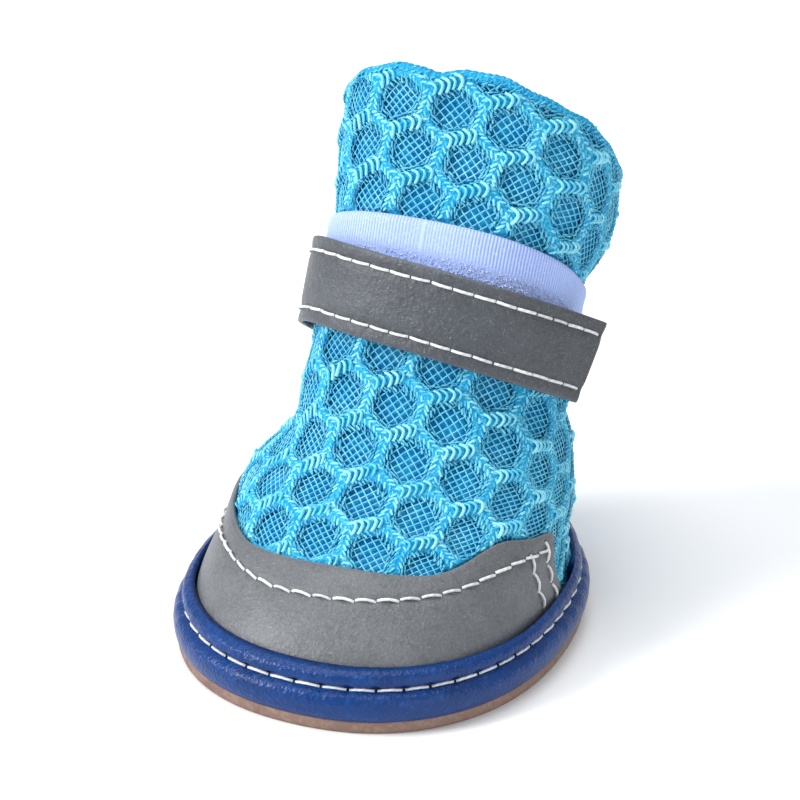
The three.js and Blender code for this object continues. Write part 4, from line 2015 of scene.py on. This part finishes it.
        first_points = np.arange(len(tubes)) * len(sag) * len(ring)
        faces = (one[None] + first_points[:, None, None]).reshape(-1, 4)
        # painted light and shade round each thread: lightest on top, darkest underneath
        high = np.broadcast_to([0.6, 1.0, 0.6, 0.3], tubes.shape[:3])
        return mesh_object("upper_net", tubes, faces, finish, {"high": high})

    @staticmethod
    def net_turn(u: float) -> float:
        """How steeply the threads run, in degrees: steeper towards -X and flatter towards +X."""
        return 45.0 + 18.0 * smooth_step(-u, 10.0, 22.0) - 13.0 * smooth_step(u, 8.0, 20.0)

    @staticmethod
    def net_pitch(u: float, falling: bool) -> float:
        """How far apart the threads of one family lie: the cloth is drawn aside to either side."""
        return 0.7 if (u < -3 if falling else u > 10) else 0.88

    def knit(self, hooks: Threads, chains: Threads, tufts: Threads) -> None:
        """Gathers the standing loops of every rib that shows.

        Args:
            hooks: Curved loops, on the ribs that rise to +X.
            chains: Slanted legs, in two columns on each of the other ribs.
            tufts: Short loops beside them, down to the open cells.
        """
        rng = np.random.default_rng(3)
        upright = np.array([0.0, 1.0])
        for cell in self.shown_cells():
            for rib in Rib:
                start, end = self.honeycomb.corners(*cell)[list(rib.value)]
                way = (end - start) / np.linalg.norm(end - start)
                across = np.array([-way[1], way[0]])
                if rib is Rib.RISING:
                    places = self.along(start, end, self.hooks_a_rib)
                    self.stand(hooks, places, np.broadcast_to(way, places.shape), 0.55, rng)
                else:
                    for hand in (-1, 1):
                        places = self.along(start, end, self.legs_a_rib) + hand * self.leg_side * across
                        slanted = np.broadcast_to(way + hand * 0.8 * across, places.shape)
                        self.stand(chains, places + rng.normal(0, 0.08, places.shape), slanted, 0.5, rng)
                for hand in (-1, 1):
                    for far, count in self.tuft_rows:
                        places = self.along(start, end, count) + hand * far * across
                        slanted = np.broadcast_to(upright * 0.6 + way + hand * 0.5 * across, places.shape)
                        places = places + rng.normal(0, 0.1, places.shape)
                        self.stand(tufts, places, slanted, 0.75 - 0.4 * far, rng)

    @staticmethod
    def along(start: Array, end: Array, count: int) -> Array:
        """Evenly spaced places between two ends."""
        return start + (end - start) * ((np.arange(count) + 0.5) / count)[:, None]

    def stand(
        self, threads: Threads, places: Array, ways: Array, height: float, rng: np.random.Generator
    ) -> None:
        """Stands loops on the fabric.

        Args:
            threads: Where they are gathered.
            places: Their places, in u and v.
            ways: Their directions, in u and v.
            height: How high over the skin they stand.
            rng: The source of their unevenness.
        """
        level, angle = self.cloth.locate(places[:, 0], places[:, 1])
        ahead = places + ways * 0.3
        outs = self.last.out(level, angle)
        here = self.place(places[:, 0], places[:, 1], np.full(len(places), height))
        there = self.place(ahead[:, 0], ahead[:, 1], np.full(len(places), height))
        far = np.linalg.norm(there - here, axis=-1)
        shown = (self.under(level, angle) < -0.4) & (np.abs(angle) < 178) & (level > 0.6)
        shown &= (places[:, 1] > 0.8) & (far > 0.08)
        if shown.any():
            here, there, outs = here[shown], there[shown], outs[shown]
            tilted = unit(outs + 0.12 * rng.normal(size=outs.shape))
            sizes = rng.uniform(0.9, 1.1, len(here)) * (1 - 0.3 * self.drawn(angle[shown]))
            threads.add(here, unit(there - here), tilted, sizes)

    def build_backing(self, finish: bpy.types.Material) -> bpy.types.Object:
        """Makes the close backing, from the sole to the collar, with its inner face.

        Args:
            finish: The backing's knit.

        Returns:
            The backing as one closed wall.
        """
        levels = np.linspace(0, self.last.collar - 0.03, 90)
        angles = np.linspace(-180, 180, 160, endpoint=False)
        grid, turn = np.meshgrid(levels, angles, indexing="xy")
        grid = np.minimum(grid, self.hem_level(turn))
        outer = self.last.off(grid, turn, np.full(grid.shape, self.backing))
        inner = self.last.off(grid, turn, np.full(grid.shape, -self.wall))
        ring = np.concatenate([outer, inner[:, ::-1]], axis=1)
        ring[..., 2] = np.maximum(ring[..., 2], SEAT_Z)
        faces = lattice(len(angles), ring.shape[1], ring_rows=True, ring_columns=True)
        # painted shade: the outer face, seen through the open cells under the bands and net, gets 0.45 and so
        # leans to the dark colour; the inner face gets 0.8
        high = np.concatenate([np.full(grid.shape, 0.45), np.full(grid.shape, 0.8)], axis=1)
        return mesh_object("upper_backing", ring, drop_slivers(ring, faces), finish, {"high": high})

    def rim_frame(self, angles: Array) -> tuple[Array, Array, Array]:
        """The collar's edge with its own directions.

        Args:
            angles: Degrees round from the toe.

        Returns:
            The edge's points, and the directions out of the fabric and up it.
        """
        level = np.full(len(angles), self.last.collar)
        edge = self.last.off(level, angles, np.zeros(len(angles)))
        out = self.last.out(level, angles)
        up = unit(edge - self.last.off(level - 0.15, angles, np.zeros(len(angles))))
        return edge, out, up

    def build_hem(self, finish: bpy.types.Material, tufts: Threads) -> bpy.types.Object:
        """Makes the turned collar edge, a soft uneven roll with loops pressed into it.

        Args:
            finish: The knitted ground.
            tufts: Where its loops are gathered.

        Returns:
            The roll.
        """
        around = self.hem_stations
        angles = np.linspace(-180, 180, around, endpoint=False)
        edge, out, up = self.rim_frame(angles)
        rise = self.hem_rise(angles)[:, None, None] * up[:, None, :]
        section = np.radians(np.arange(0, 360, 20))
        knots = 0.1 * np.sin(np.arange(around) * 2 * math.pi / self.hem_knot)[:, None]
        wide = self.hem_wide * signed_power(np.cos(section), 0.8)
        tall = self.hem_tall * np.sin(section)
        centre = edge - out * 0.72 - up * 0.45
        ring = (
            centre[:, None, :]
            + rise
            + out[:, None, :] * (wide[None, :] * (1 + knots))[..., None]
            + up[:, None, :] * (tall[None, :] * (1 + 0.6 * knots))[..., None]
        )
        faces = lattice(around, len(section), ring_rows=True, ring_columns=True)
        high = np.full(ring.shape[:2], 0.85)
        rng = np.random.default_rng(11)
        every = np.linspace(-180, 180, 130, endpoint=False)
        spot, spot_out, spot_up = self.rim_frame(every)
        lift = self.hem_rise(every)[:, None]
        around = unit(np.roll(spot, -1, axis=0) - np.roll(spot, 1, axis=0))
        for down, out_by in ((0.05, 0.0), (0.5, 0.3), (0.95, 0.35)):
            spots = spot + spot_up * (lift - down) + spot_out * out_by
            leans = unit(around + spot_up * rng.normal(0.6, 0.3, (len(every), 1)))
            facing = unit(spot_out + 0.5 * spot_up * (1.0 - down))
            spots = spots + rng.normal(0, 0.06, spots.shape)
            tufts.add(spots, leans, facing, rng.uniform(0.8, 1.1, len(every)))
        return mesh_object("upper_hem", ring, faces, finish, {"high": high})

    def build_back_seam(self, finish: bpy.types.Material, stitches: Threads) -> bpy.types.Object:
        """Makes the seam that closes the upper at the heel, flat-felled with two rows of sewing.

        Args:
            finish: The knitted ground.
            stitches: Where its stitches are gathered.

        Returns:
            The seam's fold.
        """
        levels = np.linspace(0.4, self.last.collar - 0.02, 150)
        half = self.last.skin(levels, np.full(150, 181.0)) - self.last.skin(levels, np.full(150, 179.0))
        per_degree = np.linalg.norm(half, axis=-1) / 2
        across = np.array([-2.7, -2.6, -2.2, -1.5, -0.7, -0.15, 0.15, 0.7, 1.5, 2.2, 2.6, 2.7])
        heights = np.array([-0.3, 0.55, 0.78, 0.85, 0.8, 1.02, 0.98, 0.62, 0.6, 0.55, 0.4, -0.3])
        turn = 180 + across[None, :] / per_degree[:, None]
        grid = np.broadcast_to(levels[:, None], turn.shape)
        press = self.press(grid, (turn + 180) % 360 - 180)
        lifted = heights[None, :] * press - 0.1 * (1 - press)
        outer = self.last.off(grid, turn, lifted)
        inner = self.last.off(grid, turn, np.minimum(lifted - 0.05, -0.5))
        holes = []
        for side in (-1.9, -0.75):
            path = Path(
                self.last.off(levels, 180 + side / per_degree, 0.85 * press[:, 3]),
                self.last.out(levels, 180 + side / per_degree),
            )
            middles, alongs, pricks = path.seam(2.6, 1.5, 1.0)
            holes.append(pricks)
            low = np.interp(middles.points[:, 2], path.points[:, 2], press[:, 3]) > 0.9
            stitches.add(middles.points[low], alongs[low], middles.outs[low], 0.9)
        outer, _ = sink(outer, self.last.out(grid, turn), np.concatenate(holes), 0.45, 0.2)
        points, faces = shell(outer, inner, 0.02)
        high = np.full(len(points), 0.75)
        return mesh_object("upper_back_seam", points, faces, finish, {"high": high})


# ---- The studio ----
@dataclass(frozen=True)
class Studio:
    """Camera, floor and lights."""

    target: tuple[float, float, float] = (0.0, 12.0, 30.0)
    distance: float = 480.0
    azimuth: float = 20.4
    elevation: float = 24.5
    roll: float = 2.5
    shift_right: float = -3.63
    shift_up: float = -4.32
    lens: float = 171.0
    aim: tuple[float, float, float] = (0.0, 0.005, 0.03)
    lamps: tuple[tuple[str, tuple[float, float, float], float, float], ...] = (
        ("key", (-0.52, -0.4, 0.42), 0.3, 6.3),
        ("top", (-0.1, 0.05, 0.8), 0.5, 3.2),
        ("fill", (0.6, -0.35, 0.25), 0.5, 1.5),
    )

    def build(self) -> None:
        """Sets up the whole studio."""
        self.place_camera()
        self.lay_floor()
        self.hang_lights()

    def place_camera(self) -> None:
        """Aims the camera at the boot from the front, a little to its +X side and above it."""
        azimuth, elevation, roll = (math.radians(a) for a in (self.azimuth, self.elevation, self.roll))
        ahead = Vector((math.sin(azimuth), -math.cos(azimuth), 0.0))
        back = ahead * math.cos(elevation) + Vector((0.0, 0.0, math.sin(elevation)))
        level = Vector((math.cos(azimuth), math.sin(azimuth), 0.0))
        up = back.cross(level)
        right = math.cos(roll) * level + math.sin(roll) * up
        above = -math.sin(roll) * level + math.cos(roll) * up
        target = Vector(self.target)
        spot = target + back * self.distance
        aim = target + right * self.shift_right + above * self.shift_up
        back = (spot - aim).normalized()
        right = (right - back * right.dot(back)).normalized()
        above = back.cross(right)
        data = bpy.data.cameras.new("camera")
        data.lens = self.lens
        camera = bpy.data.objects.new("camera", data)
        turned = Matrix((right, above, back)).transposed().to_4x4()
        camera.matrix_world = Matrix.Translation(spot * MM) @ turned
        bpy.context.scene.collection.objects.link(camera)
        bpy.context.scene.camera = camera

    def lay_floor(self) -> None:
        """Lays a plain pale floor."""
        half, under = 1500.0, 0.03
        corners = np.array([(x * half, y * half, -under) for x, y in ((-1, -1), (1, -1), (1, 1), (-1, 1))])
        s = Shader("floor")
        pale = s.surface(Base_Color=(0.94, 0.94, 0.945, 1.0), Roughness=0.9, Specular_IOR_Level=0.1)
        floor = mesh_object("floor", corners, [[0, 1, 2, 3]], pale)

    def hang_lights(self) -> None:
        """Lights the boot softly from the upper left, with a weak fill and a bright surround."""
        world = bpy.data.worlds.new("surround")
        world.use_nodes = True
        surround = world.node_tree.nodes["Background"]
        surround.inputs["Color"].default_value = (0.95, 0.98, 1.0, 1.0)
        surround.inputs["Strength"].default_value = 0.55
        bpy.context.scene.world = world
        bpy.context.scene.view_settings.view_transform = "Standard"
        for name, spot, size, power in self.lamps:
            self.lamp(name, spot, size, power)

    def lamp(self, name: str, spot: tuple[float, float, float], size: float, power: float) -> None:
        """Hangs one soft square light aimed at the boot.

        Args:
            name: The light's name.
            spot: Where it hangs, in metres.
            size: Its width, in metres.
            power: Its power, in watts.
        """
        data = bpy.data.lights.new(name, "AREA")
        data.size, data.energy = size, power
        lamp = bpy.data.objects.new(name, data)
        lamp.location = spot
        aim = Vector(self.aim) - Vector(spot)
        lamp.rotation_euler = aim.to_track_quat("-Z", "Y").to_euler()
        bpy.context.scene.collection.objects.link(lamp)


CREASES = (
    Crease(4.25, -68, 0.35, 26, -0.45),
    Crease(3.3, -80, 0.5, 20, 0.2),
    Crease(8.6, -40, 0.6, 12, 0.35),
    Crease(8.2, -14, 1.3, 9, 0.35),
    Crease(8.4, 2, 1.2, 8, -0.5),
    Crease(8.2, 62, 0.9, 16, 0.4),
    Crease(5.1, 40, 0.3, 26, -0.35),
    Crease(4.8, 108, 0.3, 20, -0.8),
    Crease(3.7, 60, 0.5, 22, 0.35),
    Crease(6.9, 130, 0.5, 30, -0.5),
)


def main() -> None:
    """Builds the studio and the boot's pieces in the order that a maker puts them together."""
    logging.basicConfig(level=logging.INFO, format="%(message)s")
    Studio().build()
    last = Last(creases=CREASES)
    cloth = Cloth(Last())
    tree = ThreadTree()
    thread = Yarn("thread", "C9CCD1", "E6E6E6", "8A8E96", 0.6, 3.0, 0.1).material()
    blue_thread = Yarn("blue_thread", "3FA6DA", "6CC8EE", "1F7FBF", 0.5, 3.0, 0.2).material()
    loop_yarn = Yarn("loop_yarn", "4CC0E2", "98E4F2", "2496C6", 0.42, 2.0, 0.08, 0.15).material()
    chain_yarn = Yarn("chain_yarn", "3FB8DE", "92E2F0", "1F90C2", 0.45, 2.0, 0.08, 0.15).material()
    leg_yarn = Yarn("leg_yarn", "28A3D2", "64CAE6", "1585BC", 0.48, 2.0, 0.08, 0.15).material()
    ground = KnitGround("knit_ground", "22A0CE", "46BCDF", "0A6FA6").material()
    net_yarn = KnitGround("net_yarn", "6CC6DE", "9ADBE8", "41A6CC", 0.5, 0.03, 6.0).material()
    backing = KnitGround("backing", "0F94C8", "2CB0DA", "066CA2", 0.9, 0.1, 3.0).material()
    grey = GreyLeather().material()
    strap_grey = GreyLeather("strap_leather", "3D4147", "62676E", "2B2E33").material()

    strap = Strap(last)
    strap_stitches = Threads(tree, "strap_stitches", Loop.STITCH, thread, 2.45, 0.38, 0.43, 6, 8, 0.06, 5)
    finish_piece(strap.build(strap_stitches, strap_grey), "grey_leather", "strap")
    finish_piece(strap_stitches.make(), "thread")
    barbs = Threads(tree, "hook_tape_barbs", Loop.BARB, blue_thread, 0.3, 0.1, 0.2, 4, 4)
    strip, bristles = strap.build_hooks(barbs)
    finish_piece(strip, "hook_fabric", "hook_tape")
    finish_piece(bristles, "hook_fabric")

    pile_yarn = Yarn("pile_yarn", "AFC2F2", "D9E3FC", "8FA6E6", 0.6, 1.0, 0.2).material()
    pile = Threads(tree, "loop_tape_pile", Loop.PILE, pile_yarn, 0.42, 0.1, 0.2, 4, 4, 0.2, 9)
    tape = LoopTape(last)
    band, loops = tape.build(strap, pile)
    finish_piece(band, "loop_fabric", "loop_tape")
    finish_piece(loops, "loop_fabric")

    cap_stitches = Threads(tree, "toe_cap_stitches", Loop.STITCH, thread, 2.4, 0.38, 0.43, 6, 8, 0.06, 6)
    finish_piece(ToeCap(last).build(cap_stitches, grey), "grey_leather", "toe_cap")
    finish_piece(cap_stitches.make(), "thread")

    binding_stitches = Threads(tree, "binding_stitches", Loop.STITCH, thread, 3.05, 0.4, 0.5, 6, 8, 0.04, 8)
    finish_piece(Binding(last).build(binding_stitches), "binding_leather", "binding")
    finish_piece(binding_stitches.make(), "thread")
    slab, lugs = Outsole().build(tree)
    finish_piece(slab, "sole_rubber", "outsole")
    finish_piece(lugs, "sole_rubber")
    finish_piece(Insole(last).build(), "insole_fabric", "insole")

    upper = Upper(last, cloth, tape.edges())
    hooks = Threads(tree, "upper_hooks", Loop.HOOK, loop_yarn, 1.65, 0.42, 0.4, 6, 5, 0.12, 2)
    chains = Threads(tree, "upper_chains", Loop.LEG, chain_yarn, 0.8, 0.33, 0.55, 3, 5, 0.2, 4)
    tufts = Threads(tree, "upper_tufts", Loop.LEG, leg_yarn, 0.7, 0.3, 0.5, 3, 3, 0.2, 12)
    seam = Threads(tree, "upper_seam_stitches", Loop.STITCH, blue_thread, 2.4, 0.45, 0.5, 5, 6, 0.05, 10)
    finish_piece(upper.build_backing(backing), "spacer_mesh", "upper")
    finish_piece(upper.build_bands(ground), "spacer_mesh")
    finish_piece(upper.build_net(net_yarn), "spacer_mesh")
    upper.knit(hooks, chains, tufts)
    finish_piece(upper.build_hem(ground, tufts), "spacer_mesh")
    finish_piece(upper.build_back_seam(ground, seam), "spacer_mesh")
    for threads in (hooks, chains, tufts, seam):
        finish_piece(threads.make(), "spacer_mesh")


if __name__ == "__main__":
    main()
